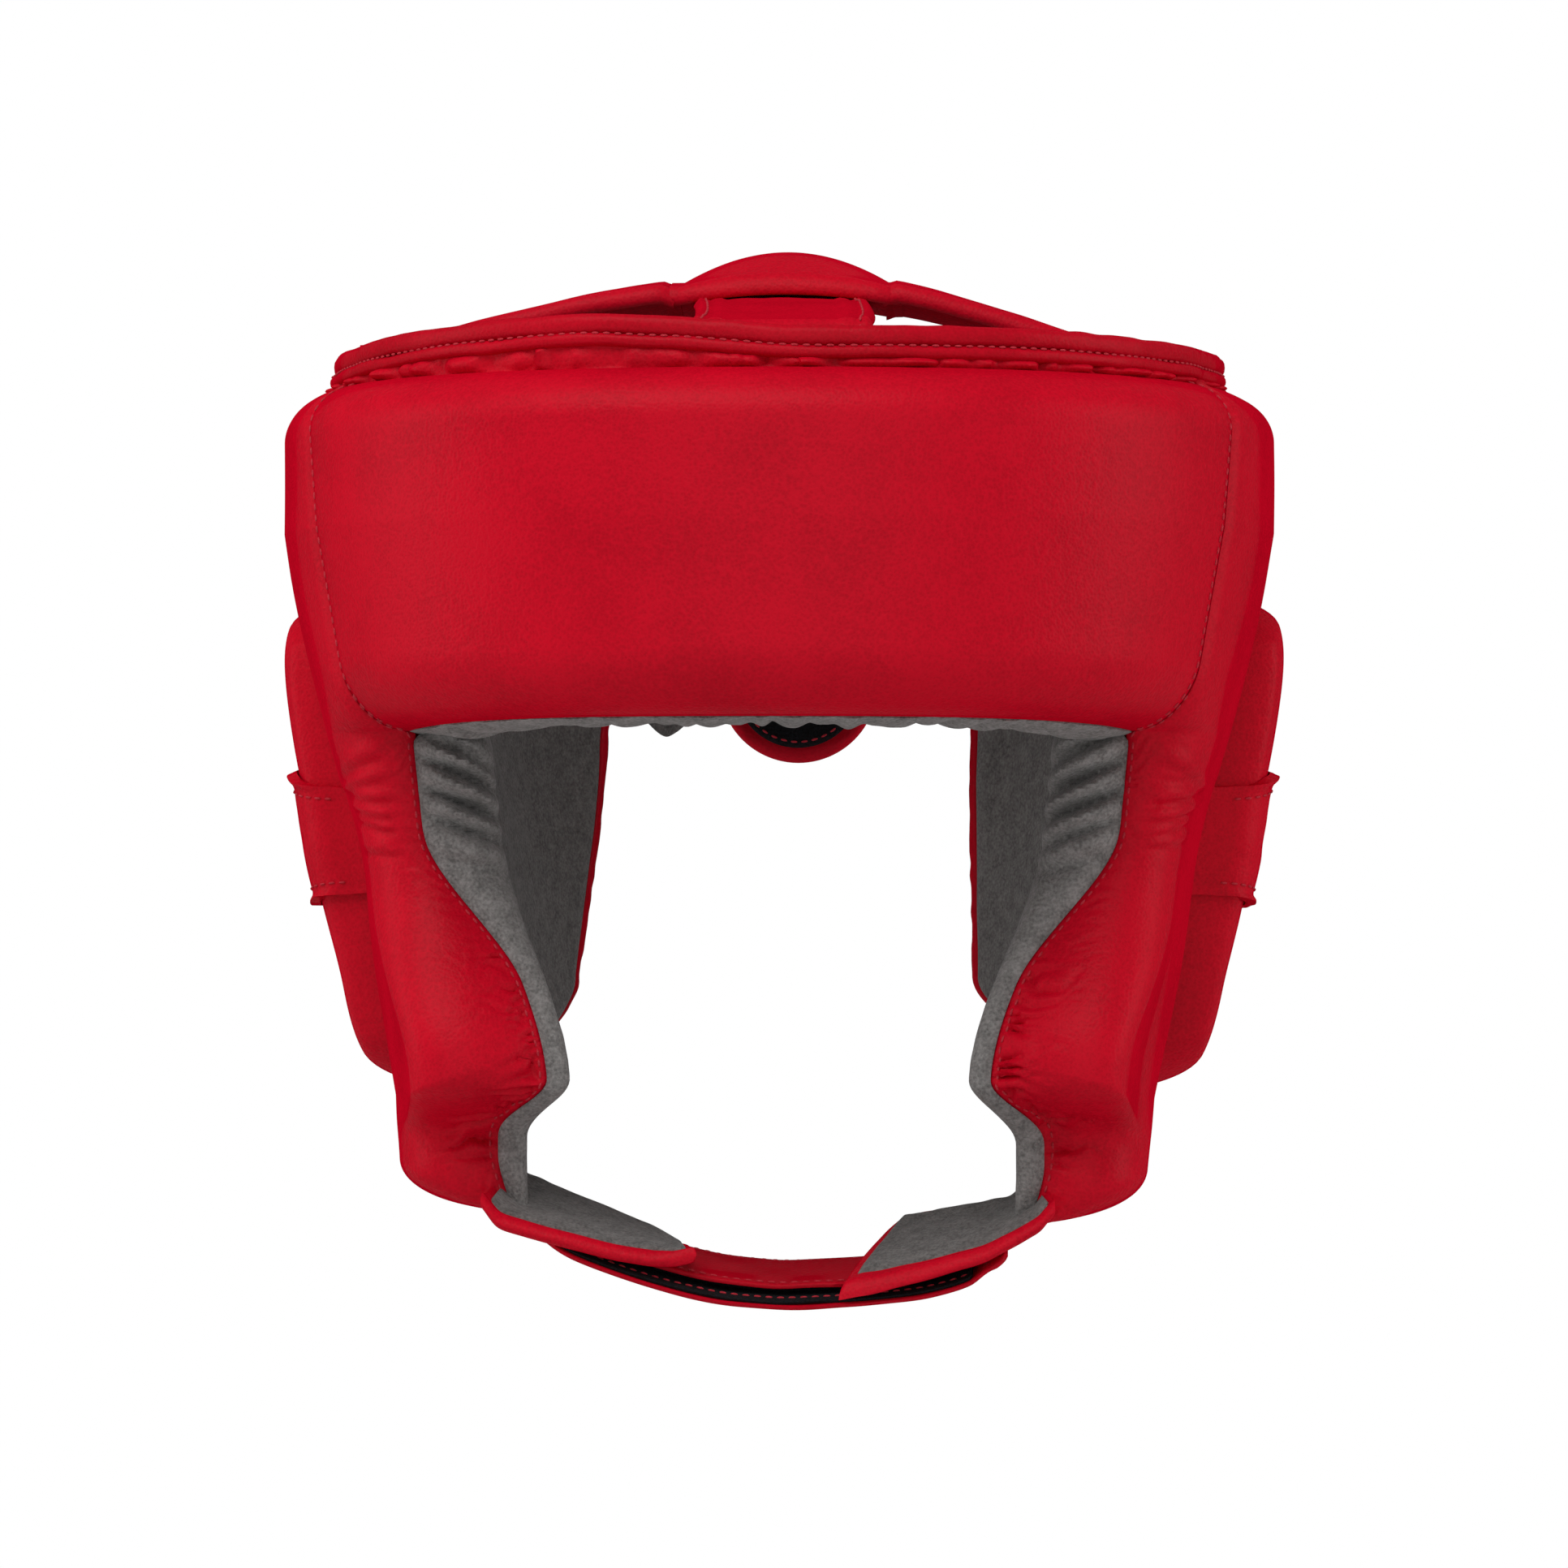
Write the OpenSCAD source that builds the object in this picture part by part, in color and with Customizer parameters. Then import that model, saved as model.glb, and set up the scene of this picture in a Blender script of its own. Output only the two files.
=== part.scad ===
// Open-face boxing headgear: padded shell in separate covers, foams and linings,
// a gathered crown with a threaded strap, and a hook-and-loop chin strap.
// Millimetres. The wearer faces -Y, +Z is up, +X is the wearer's left.
// The origin is the centre of the head cavity.

/* [Head cavity] */
// Inside width at the temples
head_w = 168; // [150:1:190]
// Inside depth, forehead to nape
head_d = 200; // [180:1:220]
// How far each inside wall leans in, from the temple down to the jaw
jaw_lean = 21; // [14:1:24]
// Squareness of the plan outline
plan_power = 2.5; // [2.2:0.05:2.8]

/* [Heights] */
// Lower edge of the forehead pad
brow_z = 15; // [8:1:24]
// Top of the padding
top_z = 94; // [86:1:104]
// Lower tip of the cheek pads
cheek_z = -102; // [-108:1:-96]
// Lower edge of the rear panels
nape_z = -74; // [-84:1:-64]

/* [Padding] */
// Thickness of the forehead and side padding
pad_t = 37; // [30:1:42]
// Thickness of the padding along its sewn edges
pad_edge = 21; // [16:1:22]
// Thickness of the cheek pads along their sewn edges
cheek_edge = 8; // [7:0.5:12]
// Radius of the rounding at the cheek tips
tip_round = 13; // [9:1:18]
// Radius of the rounding towards the sewn edges
pad_round = 22; // [16:1:28]
// Thickness of the rear panels beside the side pads
rear_front_t = 24; // [21:1:27]
// Thickness of the rear panels at the back
rear_t = 14; // [11:1:17]
// Thickness of the rear panels along their edges
rear_edge = 8; // [7:0.5:9.5]
// Height of the ear pads above the rear panels
ear_t = 25; // [20:1:30]
// Height of the ear pads along their edges
ear_edge = 11; // [8:1:15]
// Thickness of the outer covers
cover_t = 1.4; // [1:0.1:2]
// Thickness of the suede linings
lining_t = 1.6; // [1:0.1:2.2]
// Clearance between a sewn piece and its neighbour
seam_gap = 0.4; // [0.3:0.05:0.6]

/* [Face opening] */
// Azimuth of the forehead seams at the top
seam_top_a = 53; // [49:1:56]
// Azimuth of the forehead seams at the brow
seam_brow_a = 48; // [45:0.5:50]
// How far the cheek pads reach in from the eye corners, in degrees
cheek_reach = 15.5; // [11:0.5:19]
// Height of the cheek pads' innermost point
cheek_mid_z = -64; // [-70:1:-58]

/* [Ear pads] */
// Azimuth of the ear pads' centre
ear_a = 109; // [108.5:0.5:114]
// Half the ear pads' breadth, in degrees
ear_half_a = 17.5; // [15:0.5:18]
// Height of the ear pads' centre
ear_z = -15; // [-22:1:-8]
// Half the ear pads' height
ear_half_h = 59; // [50:1:62]
// Height of the band over the ear pad
ear_band_h = 36; // [28:1:44]
// Thickness of the band over the ear pad
ear_band_t = 1.8; // [1.2:0.1:2.6]

/* [Rear] */
// Azimuth of the rear panels' back edges
rear_edge_a = 151.5; // [147:0.5:156]
// Lower edge of the elastic back panel
back_low_z = 18; // [12:1:26]
// Thickness of the elastic back panel
back_t = 6; // [4:0.5:7]
// Thickness of the hook and loop patches
patch_t = 1.3; // [1:0.1:1.6]
// Radius of the piping on the rear panels
piping_r = 2.2; // [1.6:0.1:2.8]

/* [Crown] */
// Radius of the upper roll of the rim
rim_r = 1.9; // [1.5:0.1:2.3]
// Radius of the lower roll of the rim
rim_low_r = 1.8; // [1.4:0.1:2.2]
// Distance of the rim inside the outer face
rim_inset = 14.5; // [12:0.5:17]
// Thickness of the gathered strip under the rim
gather_t = 3.6; // [2.4:0.1:4.4]
// Rise of the crown band above the rim
crown_rise = 15.5; // [12:0.5:19]
// Extra rise of the guide loop in the middle of the crown band
guide_rise = 6.8; // [5:0.2:8]
// Drop of the crown band's front and back edges below its middle
crown_arch = 3.4; // [2:0.2:4.4]
// Width of the crown band, front to back
crown_band_w = 44; // [36:1:52]
// Thickness of the crown band
crown_band_t = 3.6; // [2.8:0.1:4.6]
// Half the length of the guide loop
guide_half = 27; // [25:0.5:30]
// Width of the crown strap
crown_strap_w = 42; // [36:1:45]
// Thickness of the crown strap
crown_strap_t = 3; // [2.4:0.1:3.6]
// Height of the fold where the strap's tail lifts
tail_fold_z = 76; // [68:1:82]
// Lower tip of the strap's tail
tail_low_z = 5; // [-4:1:14]

/* [Chin strap] */
// Width of the chin flaps and straps
chin_w = 38; // [32:1:44]
// Height of the near edge of the straps at the middle
chin_mid_z = -120; // [-124:0.5:-118]
// Curve of the straps: drop over half their length
chin_sag = 8; // [6:0.5:8.5]
// How much the straps tilt up to the rear, in degrees
chin_tilt = 3; // [1:0.5:5]
// Near edge of the straps
chin_front_y = -76; // [-79:0.5:-73]
// Thickness of the chin straps
chin_strap_t = 2; // [1.4:0.1:2.3]
// Thickness of the chin flaps' covers
chin_flap_t = 2.4; // [1.8:0.1:3]

/* [Hidden] */
// Plan curves of the head cavity
ref_z = 60;
jaw_z = -75;
nape_in = 8;
face_in = 7;
mm_per_deg = PI / 180 * head_d / 2;

function clamp01(x) = min(1, max(0, x));
function mix(a, b, t) = a + (b - a) * t;
function smooth(x) = let (t = clamp01(x)) t * t * (3 - 2 * t);
function spread(n) = [for (i = [0:n]) (1 - cos(180 * i / n)) / 2];
function even(n) = [for (i = [0:n]) i / n];
function inner(list) = [for (i = [1:len(list) - 2]) list[i]];
// Rounding of a pad, by the distance from its edge
function edge_round(d, r) = d >= r ? 1 : sqrt(max(0, 1 - pow(1 - max(d, 0) / r, 2)));

// Share of the way from the temple down to the jaw
function jaw_share(z) = clamp01((ref_z - z) / (ref_z - jaw_z));
function half_w(z) = head_w / 2 - jaw_lean * jaw_share(z);
function front_d(z) = head_d / 2 - face_in * jaw_share(z);
function rear_d(z) = head_d / 2 - nape_in * jaw_share(z);

// Point at azimuth a (0 is the front, 90 is +X), height z, and distance off outside the cavity
function shell(a, z, off) =
    let (c = cos(a), s = sin(a), n = plan_power)
    let (w = half_w(z), d = c > 0 ? front_d(z) : rear_d(z))
    let (r = pow(pow(abs(s) / w, n) + pow(abs(c) / d, n), -1 / n))
    let (gx = sign(s) * pow(r * abs(s) / w, n - 1) / w)
    let (gy = -sign(c) * pow(r * abs(c) / d, n - 1) / d)
    let (g = norm([gx, gy]))
    [r * s + off * gx / g, -r * c + off * gy / g, z];

// Closed slab between two heights over a patch: at(u, v, off), with u x v along +off
module slab(at, us, vs, lo, hi) {
    nu = len(us);
    nv = len(vs);
    face = [for (v = vs) for (u = us) at(u, v, hi(u, v))];
    back = [for (v = vs) for (u = us) at(u, v, lo(u, v))];
    t = function (i, j) j * nu + i;
    b = function (i, j) nu * nv + j * nu + i;
    sheets = [for (j = [0:nv - 2]) for (i = [0:nu - 2]) each [
        [t(i, j), t(i, j + 1), t(i + 1, j + 1)], [t(i, j), t(i + 1, j + 1), t(i + 1, j)],
        [b(i, j), b(i + 1, j + 1), b(i, j + 1)], [b(i, j), b(i + 1, j), b(i + 1, j + 1)]]];
    ends = [for (i = [0:nu - 2]) each let (k = nv - 1) [
        [t(i, 0), t(i + 1, 0), b(i + 1, 0)], [t(i, 0), b(i + 1, 0), b(i, 0)],
        [t(i + 1, k), t(i, k), b(i, k)], [t(i + 1, k), b(i, k), b(i + 1, k)]]];
    sides = [for (j = [0:nv - 2]) each let (k = nu - 1) [
        [t(0, j + 1), t(0, j), b(0, j)], [t(0, j + 1), b(0, j), b(0, j + 1)],
        [t(k, j), t(k, j + 1), b(k, j + 1)], [t(k, j), b(k, j + 1), b(k, j)]]];
    polyhedron(concat(face, back), concat(sheets, ends, sides), convexity = 10);
}

// Tube through a list of rings; a closed one joins its last ring to its first
module tube(rings, closed = false) {
    n = len(rings);
    m = len(rings[0]);
    last = closed ? n - 1 : n - 2;
    p = function (i, j) (i % n) * m + j % m;
    skin = [for (i = [0:last]) for (j = [0:m - 1]) each [
        [p(i, j), p(i, j + 1), p(i + 1, j + 1)], [p(i, j), p(i + 1, j + 1), p(i + 1, j)]]];
    caps = closed ? [] : [for (j = [1:m - 2]) each [
        [p(0, 0), p(0, j + 1), p(0, j)], [p(n - 1, 0), p(n - 1, j), p(n - 1, j + 1)]]];
    polyhedron([for (r = rings) each r], concat(skin, caps), convexity = 10);
}

module both_sides(side) {
    if (side > 0) children();
    else mirror([1, 0, 0]) children();
}

// Padding: outlines on the cavity, and thickness
function seam_a(z) = mix(seam_brow_a, seam_top_a, clamp01((z - brow_z) / (top_z - brow_z)));
gap_a = seam_gap / mm_per_deg;

// Cheek outline: in from the eye corner to the cheek, then out again to the tip
eye_low_z = -14;
tip_back = 16;
tip_turn = 22;
function cheek_in(z) =
    z > cheek_mid_z ? smooth((eye_low_z - z) / (eye_low_z - cheek_mid_z))
    : 1 - tip_back / cheek_reach * smooth((cheek_mid_z - z) / tip_turn);
function side_front_a(z) =
    z > brow_z ? seam_a(z) + 2 * gap_a : seam_brow_a + 2 * gap_a - cheek_reach * cheek_in(z);
side_back_a = 88;
tip_back_a = 56;
tip_start_z = -26;
function side_rear_a(z) =
    mix(side_back_a, tip_back_a, pow(clamp01((tip_start_z - z) / (tip_start_z - cheek_z)), 1.3));

brow_dip = 3;
forehead_z = function (u, v) mix(brow_z - brow_dip * pow(abs(2 * u - 1), 3), top_z, v);
forehead_at = function (u, v, off)
    let (z = forehead_z(u, v), a = seam_a(z)) shell(mix(-a, a, u), z, off);
side_z = function (v) mix(cheek_z, top_z, v);
side_a = function (u, v) let (z = side_z(v)) mix(side_front_a(z), side_rear_a(z), u);
side_at = function (u, v, off) shell(side_a(u, v), side_z(v), off);

// The edges are thinner towards the cheeks
function edge_t(z) = mix(cheek_edge, pad_edge, smooth((z + 48) / 38));
top_round = 12;
seam_dip = 0.14;
function top_share(z) = mix((pad_t - rim_inset - pad_edge) / (pad_t - pad_edge), 1,
    edge_round(top_z - z, top_round));
forehead_t = function (u, v)
    let (z = forehead_z(u, v))
    let (along = (1 - abs(2 * u - 1)) * seam_a(z) * mm_per_deg)
    let (seam = 1 - seam_dip * (1 - edge_round(along, pad_round)))
    pad_edge + (pad_t - pad_edge) * seam * top_share(z) * edge_round((top_z - brow_z) * v, pad_round);

// The side pad has a free edge along the face and a plain seam beside the forehead
eye_waist = 0.25;
side_t = function (u, v)
    let (z = side_z(v), a = side_a(u, v))
    let (free = smooth((brow_z + 6 - z) / 12))
    let (front = edge_round((a - side_front_a(z)) * mm_per_deg, pad_round))
    let (rear = edge_round((side_rear_a(z) - a) * mm_per_deg, pad_round))
    let (seam = 1 - seam_dip * (1 - front))
    let (waist = 1 - eye_waist * exp(-pow((z - eye_low_z) / 16, 2)) * (1 - u))
    edge_t(z) + (pad_t - edge_t(z)) * mix(seam, front, free) * rear * waist
        * top_share(z) * edge_round(z - cheek_z, tip_round);

module cover(at, us, vs, thick) {
    slab(at, us, vs, function (u, v) thick(u, v) - cover_t, thick);
}

// The lining covers the inside face and turns up round the pad's edges to meet the cover
module lining(at, us, vs, thick) {
    at_edge = function (u, v) u < us[1] || v < vs[1] || u > us[len(us) - 2] || v > vs[len(vs) - 2];
    slab(at, us, vs, function (u, v) 0,
        function (u, v) at_edge(u, v) ? thick(u, v) - cover_t - seam_gap : lining_t);
}

// The foam fills the space between them
module foam(at, us, vs, thick) {
    slab(at, us, vs, function (u, v) lining_t + seam_gap,
        function (u, v) thick(u, v) - cover_t - seam_gap);
}

forehead_us = spread(14);
forehead_vs = spread(9);
side_us = spread(9);
side_vs = [for (i = [0:20]) (even(20)[i] + spread(20)[i]) / 2];
// The temple and the cheek have a block of foam each
side_split = 9;

module forehead_cover() { color("crimson") cover(forehead_at, forehead_us, forehead_vs, forehead_t); }
module forehead_lining() { color("dimgray") lining(forehead_at, forehead_us, forehead_vs, forehead_t); }
module forehead_foam() { color("khaki") foam(forehead_at, inner(forehead_us), inner(forehead_vs), forehead_t); }
module side_cover(side) { color("crimson") both_sides(side) cover(side_at, side_us, side_vs, side_t); }
module side_lining(side) { color("dimgray") both_sides(side) lining(side_at, side_us, side_vs, side_t); }
foam_break = seam_gap / (top_z - cheek_z);
module cheek_foam(side) {
    vs = [for (i = [1:side_split]) side_vs[i] - (i == side_split ? foam_break : 0)];
    color("khaki") both_sides(side) foam(side_at, inner(side_us), vs, side_t);
}
module temple_foam(side) {
    last = len(side_vs) - 2;
    vs = [for (i = [side_split:last]) side_vs[i] + (i == side_split ? foam_break : 0)];
    color("khaki") both_sides(side) foam(side_at, inner(side_us), vs, side_t);
}

// Rear panels, from behind the side pads to the back edges, rounded towards the nape
rear_front_a = side_back_a + 4 * gap_a;
rear_turn_z = -50;
rear_lean_z = 15;
rear_lean_a = 5;
nape_front_a = 104;
function rear_back_a(z) =
    let (lean = rear_edge_a - rear_lean_a * pow(clamp01((rear_lean_z - z) / (rear_lean_z - rear_turn_z)), 1.6))
    mix(lean, nape_front_a, pow(clamp01((rear_turn_z - z) / (rear_turn_z - nape_z)), 2));
function rear_full(a) = mix(rear_front_t, rear_t, smooth((a - rear_front_a) / 42));
rear_z = function (v) mix(nape_z, top_z, v);
rear_a = function (u, v) mix(rear_front_a, rear_back_a(rear_z(v)), u);
rear_at = function (u, v, off) shell(rear_a(u, v), rear_z(v), off);
rear_round = 9;
rear_thick = function (u, v)
    let (z = rear_z(v), a = rear_a(u, v))
    let (back = edge_round((rear_back_a(z) - a) * mm_per_deg, rear_round))
    rear_edge + (rear_full(a) - rear_edge) * back * edge_round(z - nape_z, rear_round)
        * edge_round(top_z - z + rear_round / 2, rear_round);
rear_us = spread(9);
rear_vs = spread(12);
module rear_cover(side) { color("crimson") both_sides(side) cover(rear_at, rear_us, rear_vs, rear_thick); }
module rear_lining(side) { color("dimgray") both_sides(side) lining(rear_at, rear_us, rear_vs, rear_thick); }
module rear_foam(side) { color("khaki") both_sides(side) foam(rear_at, inner(rear_us), inner(rear_vs), rear_thick); }

// Piping beside the back edge of a rear panel
piping_sides = 6;
module rear_piping(side) {
    clear_a = (piping_r + seam_gap) / mm_per_deg;
    zs = [for (v = even(20)) mix(nape_z + 2 * piping_r, back_low_z - 2 * piping_r, v)];
    ring = function (z) [for (k = [0:piping_sides - 1]) let (s = 360 * k / piping_sides)
        shell(rear_back_a(z) + clear_a * (z < rear_turn_z ? 1.15 : 1) + piping_r / mm_per_deg * cos(s), z,
            rear_edge / 2 + piping_r * sin(s))];
    color("firebrick") both_sides(side) tube([for (z = zs) ring(z)]);
}

// Elastic back panel between the rear panels, with the loop patch on its outside
back_a = rear_edge_a + 2 * gap_a;
back_top_z = top_z;
back_at = function (u, v, off) shell(mix(back_a, 360 - back_a, u), mix(back_low_z, back_top_z, v), off);
back_us = even(12);
module back_panel() {
    color("firebrick") slab(back_at, back_us, even(3), function (u, v) 0, function (u, v) back_t);
}

// The tail, its patches and the fold share one plane behind the back panel
tail_half = crown_strap_w / 2;
patch_half = tail_half - 4;
loop_off = back_t + seam_gap;
hook_off = loop_off + patch_t + seam_gap;
tail_y = head_d / 2 + hook_off + patch_t;
patch_top_z = tail_fold_z - 6;
patch_a = 180 - atan(2 * patch_half / head_d);
module back_loop_patch() {
    at = function (u, v, off)
        shell(mix(patch_a, 360 - patch_a, u), mix(back_low_z + 2, patch_top_z, v), off);
    color("black") slab(at, even(8), even(2), function (u, v) loop_off, function (u, v) loop_off + patch_t);
}

// Ear pads, on the outside of the rear panels: a square patch with its corners drawn in
corner = 0.75;
ear_across = function (u, v)
    let (x = 2 * u - 1, y = 2 * v - 1) ear_a + ear_half_a * x * sqrt(1 - corner * y * y / 2);
ear_up = function (u, v)
    let (x = 2 * u - 1, y = 2 * v - 1) ear_z + ear_half_h * y * sqrt(1 - corner * x * x / 2);
ear_at = function (u, v, off) shell(ear_across(u, v), ear_up(u, v), off);
ear_base = function (u, v) rear_full(ear_across(u, v)) + 2 * seam_gap;
ear_crown_power = 3.2;
function ear_dome(x) = pow(max(0, 1 - pow(abs(2 * x - 1), ear_crown_power)), 1 / 2.2);
ear_thick = function (u, v) ear_base(u, v) + ear_edge + (ear_t - ear_edge) * ear_dome(u) * ear_dome(v);
ear_us = spread(10);
ear_vs = spread(12);
module ear_pad_cover(side) {
    at_edge = function (u, v) u < ear_us[1] || v < ear_vs[1] || u > ear_us[9] || v > ear_vs[11];
    color("crimson") both_sides(side) slab(ear_at, ear_us, ear_vs,
        function (u, v) at_edge(u, v) ? ear_base(u, v) : ear_thick(u, v) - cover_t, ear_thick);
}
module ear_pad_foam(side) {
    color("khaki") both_sides(side) slab(ear_at, inner(ear_us), inner(ear_vs),
        function (u, v) ear_base(u, v), function (u, v) ear_thick(u, v) - cover_t - seam_gap);
}

// Band over an ear pad, turned down behind it
band_v = ear_band_h / (2 * ear_half_h) / 2;
band_us = concat([-0.035], spread(10), [1.05]);
module ear_band(side) {
    mid_v = 0.5;
    lo = function (u, v) u < 0 || u > 1 ? ear_base(u, v) + ear_edge * 0.5 : ear_thick(u, v) + seam_gap;
    color("firebrick") both_sides(side) slab(ear_at, band_us, [for (k = even(4)) mid_v + band_v * (2 * k - 1)],
        lo, function (u, v) lo(u, v) + ear_band_t);
}

// Rim: two rolls round the whole top edge, over a gathered strip
function rim_off(a) =
    let (turn = smooth((abs(a > 180 ? a - 360 : a) - 76) / 64))
    mix(pad_t - rim_inset, rear_t / 2, turn);
rim_steps = 48;
roll_sides = 8;
gather_z = top_z + seam_gap;
rim_low_z = gather_z + gather_t + seam_gap + rim_low_r;
rim_z = rim_low_z + rim_low_r + rim_r;
rim_top_z = rim_z + rim_r;
module roll(z, r) {
    tube([for (i = [0:rim_steps - 1]) let (a = 360 * i / rim_steps)
        [for (k = [0:roll_sides - 1]) let (s = 360 * (k + 0.5) / roll_sides)
            shell(a, z + r * sin(s), rim_off(a) + r * cos(s))]], closed = true);
}
module rim_upper_roll() { color("crimson") roll(rim_z, rim_r); }
module rim_lower_roll() { color("crimson") roll(rim_low_z, rim_low_r); }
gather_in = 8;
module top_gather() {
    color("firebrick") tube([for (i = [0:rim_steps - 1]) let (a = 360 * i / rim_steps, o = rim_off(a))
        let (near = min(gather_in, o / 2))
        [shell(a, gather_z, o + rim_low_r), shell(a, gather_z + gather_t, o + rim_low_r),
            shell(a, gather_z + gather_t, near), shell(a, gather_z, near)]], closed = true);
}

// Crown band: a left and a right flap from the rim, and the guide loop between them
crown_low = rim_top_z + 2 * seam_gap;
crown_end_z = rim_z - crown_band_t / 2;
function crown_end_x(y) = let (a = 90 + atan(y / half_w(top_z)))
    shell(a, rim_z, rim_off(a) - rim_r - seam_gap)[0];
crown_x = crown_end_x(0);
crown_top_z = crown_low + crown_rise;
function crown_z(x) = mix(crown_end_z, crown_top_z, pow(max(0, cos(90 * min(1, x / crown_x))), 1.2));
// The band is arched across its width; the guide's edges stay low while its middle swells up
function band_drop(v) = crown_arch * pow(2 * v - 1, 2);
guide_base_z = crown_z(guide_half);
function guide_z(x, v) = guide_base_z - band_drop(v)
    + guide_rise * pow(cos(90 * min(1, abs(x) / guide_half)), 2) * (1 - 0.75 * pow(2 * v - 1, 2));
crown_round = 7;
function crown_thick(v) = crown_band_t * mix(0.6, 1, edge_round(crown_band_w * min(v, 1 - v), crown_round));
module crown_flap(side) {
    x0 = guide_half + seam_gap;
    at = function (u, v, off)
        let (y = crown_band_w * (v - 0.5), x = mix(x0, crown_end_x(y), u))
        [x, y, crown_z(mix(x0, crown_x, u)) - band_drop(v) * (1 - 0.5 * u) + off];
    color("crimson") both_sides(side) slab(at, even(10), spread(6), function (u, v) 0,
        function (u, v) crown_thick(v));
}
module crown_guide() {
    at = function (u, v, off) let (x = mix(-guide_half, guide_half, u))
        [x, crown_band_w * (v - 0.5), guide_z(x, v) + off];
    color("crimson") slab(at, even(12), spread(6), function (u, v) 0, function (u, v) crown_thick(v));
}

// Crown strap: from the front rim, through the guide loop, over the rear rim and down the back
rim_front_y = -(head_d / 2 + rim_off(0));
rim_back_y = head_d / 2 + rim_off(180);
strap_edge_z = guide_z(tail_half, 0) - seam_gap - crown_strap_t;
function strap_share(y) = pow(cos(90 * min(1, y < 0 ? y / rim_front_y : y / rim_back_y)), 2);
function strap_z(y) = mix(crown_low, strap_edge_z, strap_share(y));
bend_r = tail_y - rim_back_y;
function strap_path(v) =
    v < 0.7 ? let (y = mix(rim_front_y, rim_back_y, v / 0.7)) [y, strap_z(y), 0, strap_share(y)]
    : v < 0.85 ? let (s = 90 * (v - 0.7) / 0.15) [rim_back_y + bend_r * sin(s), crown_low - bend_r + bend_r * cos(s), s, 0]
    : [tail_y, mix(crown_low - bend_r, tail_fold_z + crown_strap_t / 2 + seam_gap, (v - 0.85) / 0.15), 90, 0];
strap_vs = concat([for (i = [0:14]) 0.05 * i], [for (i = [1:4]) 0.7 + 0.0375 * i], [1]);
module crown_strap() {
    at = function (u, v, off) let (p = strap_path(v), x = mix(-tail_half, tail_half, u))
        [x, p[0] + off * sin(p[2]), p[1] + off * cos(p[2])];
    color("firebrick") slab(at, even(8), strap_vs, function (u, v) 0, function (u, v) crown_strap_t);
}

// Tail: a rolled fold at its top, round at its end, with the hook patch inside
module tail_outline(half, low, high) {
    translate([0, low + half]) circle(r = half, $fn = 48);
    translate([-half, low + half]) square([2 * half, high - low - half]);
}
module crown_tail() {
    fold_r = crown_strap_t / 2;
    color("crimson") union() {
        translate([0, tail_y + crown_strap_t, 0]) rotate([90, 0, 0])
            linear_extrude(crown_strap_t) tail_outline(tail_half, tail_low_z, tail_fold_z);
        translate([-tail_half, tail_y + fold_r, tail_fold_z]) rotate([0, 90, 0])
            cylinder(r = fold_r, h = 2 * tail_half, $fn = 32);
    }
}
module crown_hook_patch() {
    color("black") translate([0, tail_y, 0]) rotate([90, 0, 0])
        linear_extrude(patch_t) tail_outline(patch_half, tail_low_z + 4, patch_top_z);
}

// Chin straps: one curve, with the flaps above it
strap_ref_x = 55;
function chin_z(x) = chin_mid_z + chin_sag * pow(x / strap_ref_x, 2);
// Point across a strap: p is [x, z] of its near edge, slope its angle along X, tilt its angle across
function across(p, slope, tilt, v, off) =
    let (w = chin_w * v)
    [p[0] - off * sin(slope), chin_front_y + w * cos(tilt) - off * sin(tilt) * cos(slope),
        p[1] + w * sin(tilt) + off * cos(tilt) * cos(slope)];

// Chin flaps: padded tongues from the cheek tips, suede on top
root_x = 68;
root_z = cheek_z - seam_gap - chin_w * sin(chin_tilt);
flap_tip_x = 18;
loop_top = 2 * seam_gap + patch_t + chin_strap_t;
flap_low_z = chin_z(flap_tip_x) + loop_top + 2 * seam_gap;
function flap_z(x) = mix(flap_low_z + chin_flap_t, root_z, pow((x - flap_tip_x) / (root_x - flap_tip_x), 1.1));
flap_slope = atan((root_z - flap_low_z - chin_flap_t) / (root_x - flap_tip_x));
flap_at = function (u, v, off)
    let (x = mix(flap_tip_x, root_x, u)) across([x, flap_z(x)], flap_slope, chin_tilt, v, off);
flap_vs = [0, 0.06, 0.3, 0.7, 0.94, 1];
module chin_flap(side) {
    color("crimson") both_sides(side) slab(flap_at, even(8), flap_vs,
        function (u, v) -chin_flap_t, function (u, v) 0);
}
module chin_flap_lining(side) {
    color("dimgray") both_sides(side) slab(flap_at, [for (k = [1:5]) k / 8], inner(flap_vs),
        function (u, v) seam_gap, function (u, v) seam_gap + lining_t);
}

// The loop strap is sewn under the flap on the wearer's right
loop_start_x = -40;
loop_end_x = 36;
loop_edge = 0.15;
loop_vs = [for (k = [0, 0.1, 0.5, 0.9, 1]) mix(loop_edge, 1 - loop_edge, k)];
patch_vs = [for (k = [0.08, 0.5, 0.92]) mix(loop_edge, 1 - loop_edge, k)];
function chin_slope(x) = atan(2 * chin_sag * x / pow(strap_ref_x, 2));
loop_at = function (u, v, off)
    let (x = mix(loop_start_x, loop_end_x, u)) across([x, chin_z(x)], chin_slope(x), chin_tilt, v, off);
module chin_loop_patch() {
    color("black") slab(loop_at, [for (k = even(12)) mix(0.1, 0.98, k)], patch_vs,
        function (u, v) seam_gap, function (u, v) seam_gap + patch_t);
}
module chin_loop_strap() {
    color("firebrick") slab(loop_at, even(14), loop_vs,
        function (u, v) 2 * seam_gap + patch_t, function (u, v) loop_top);
}

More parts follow.
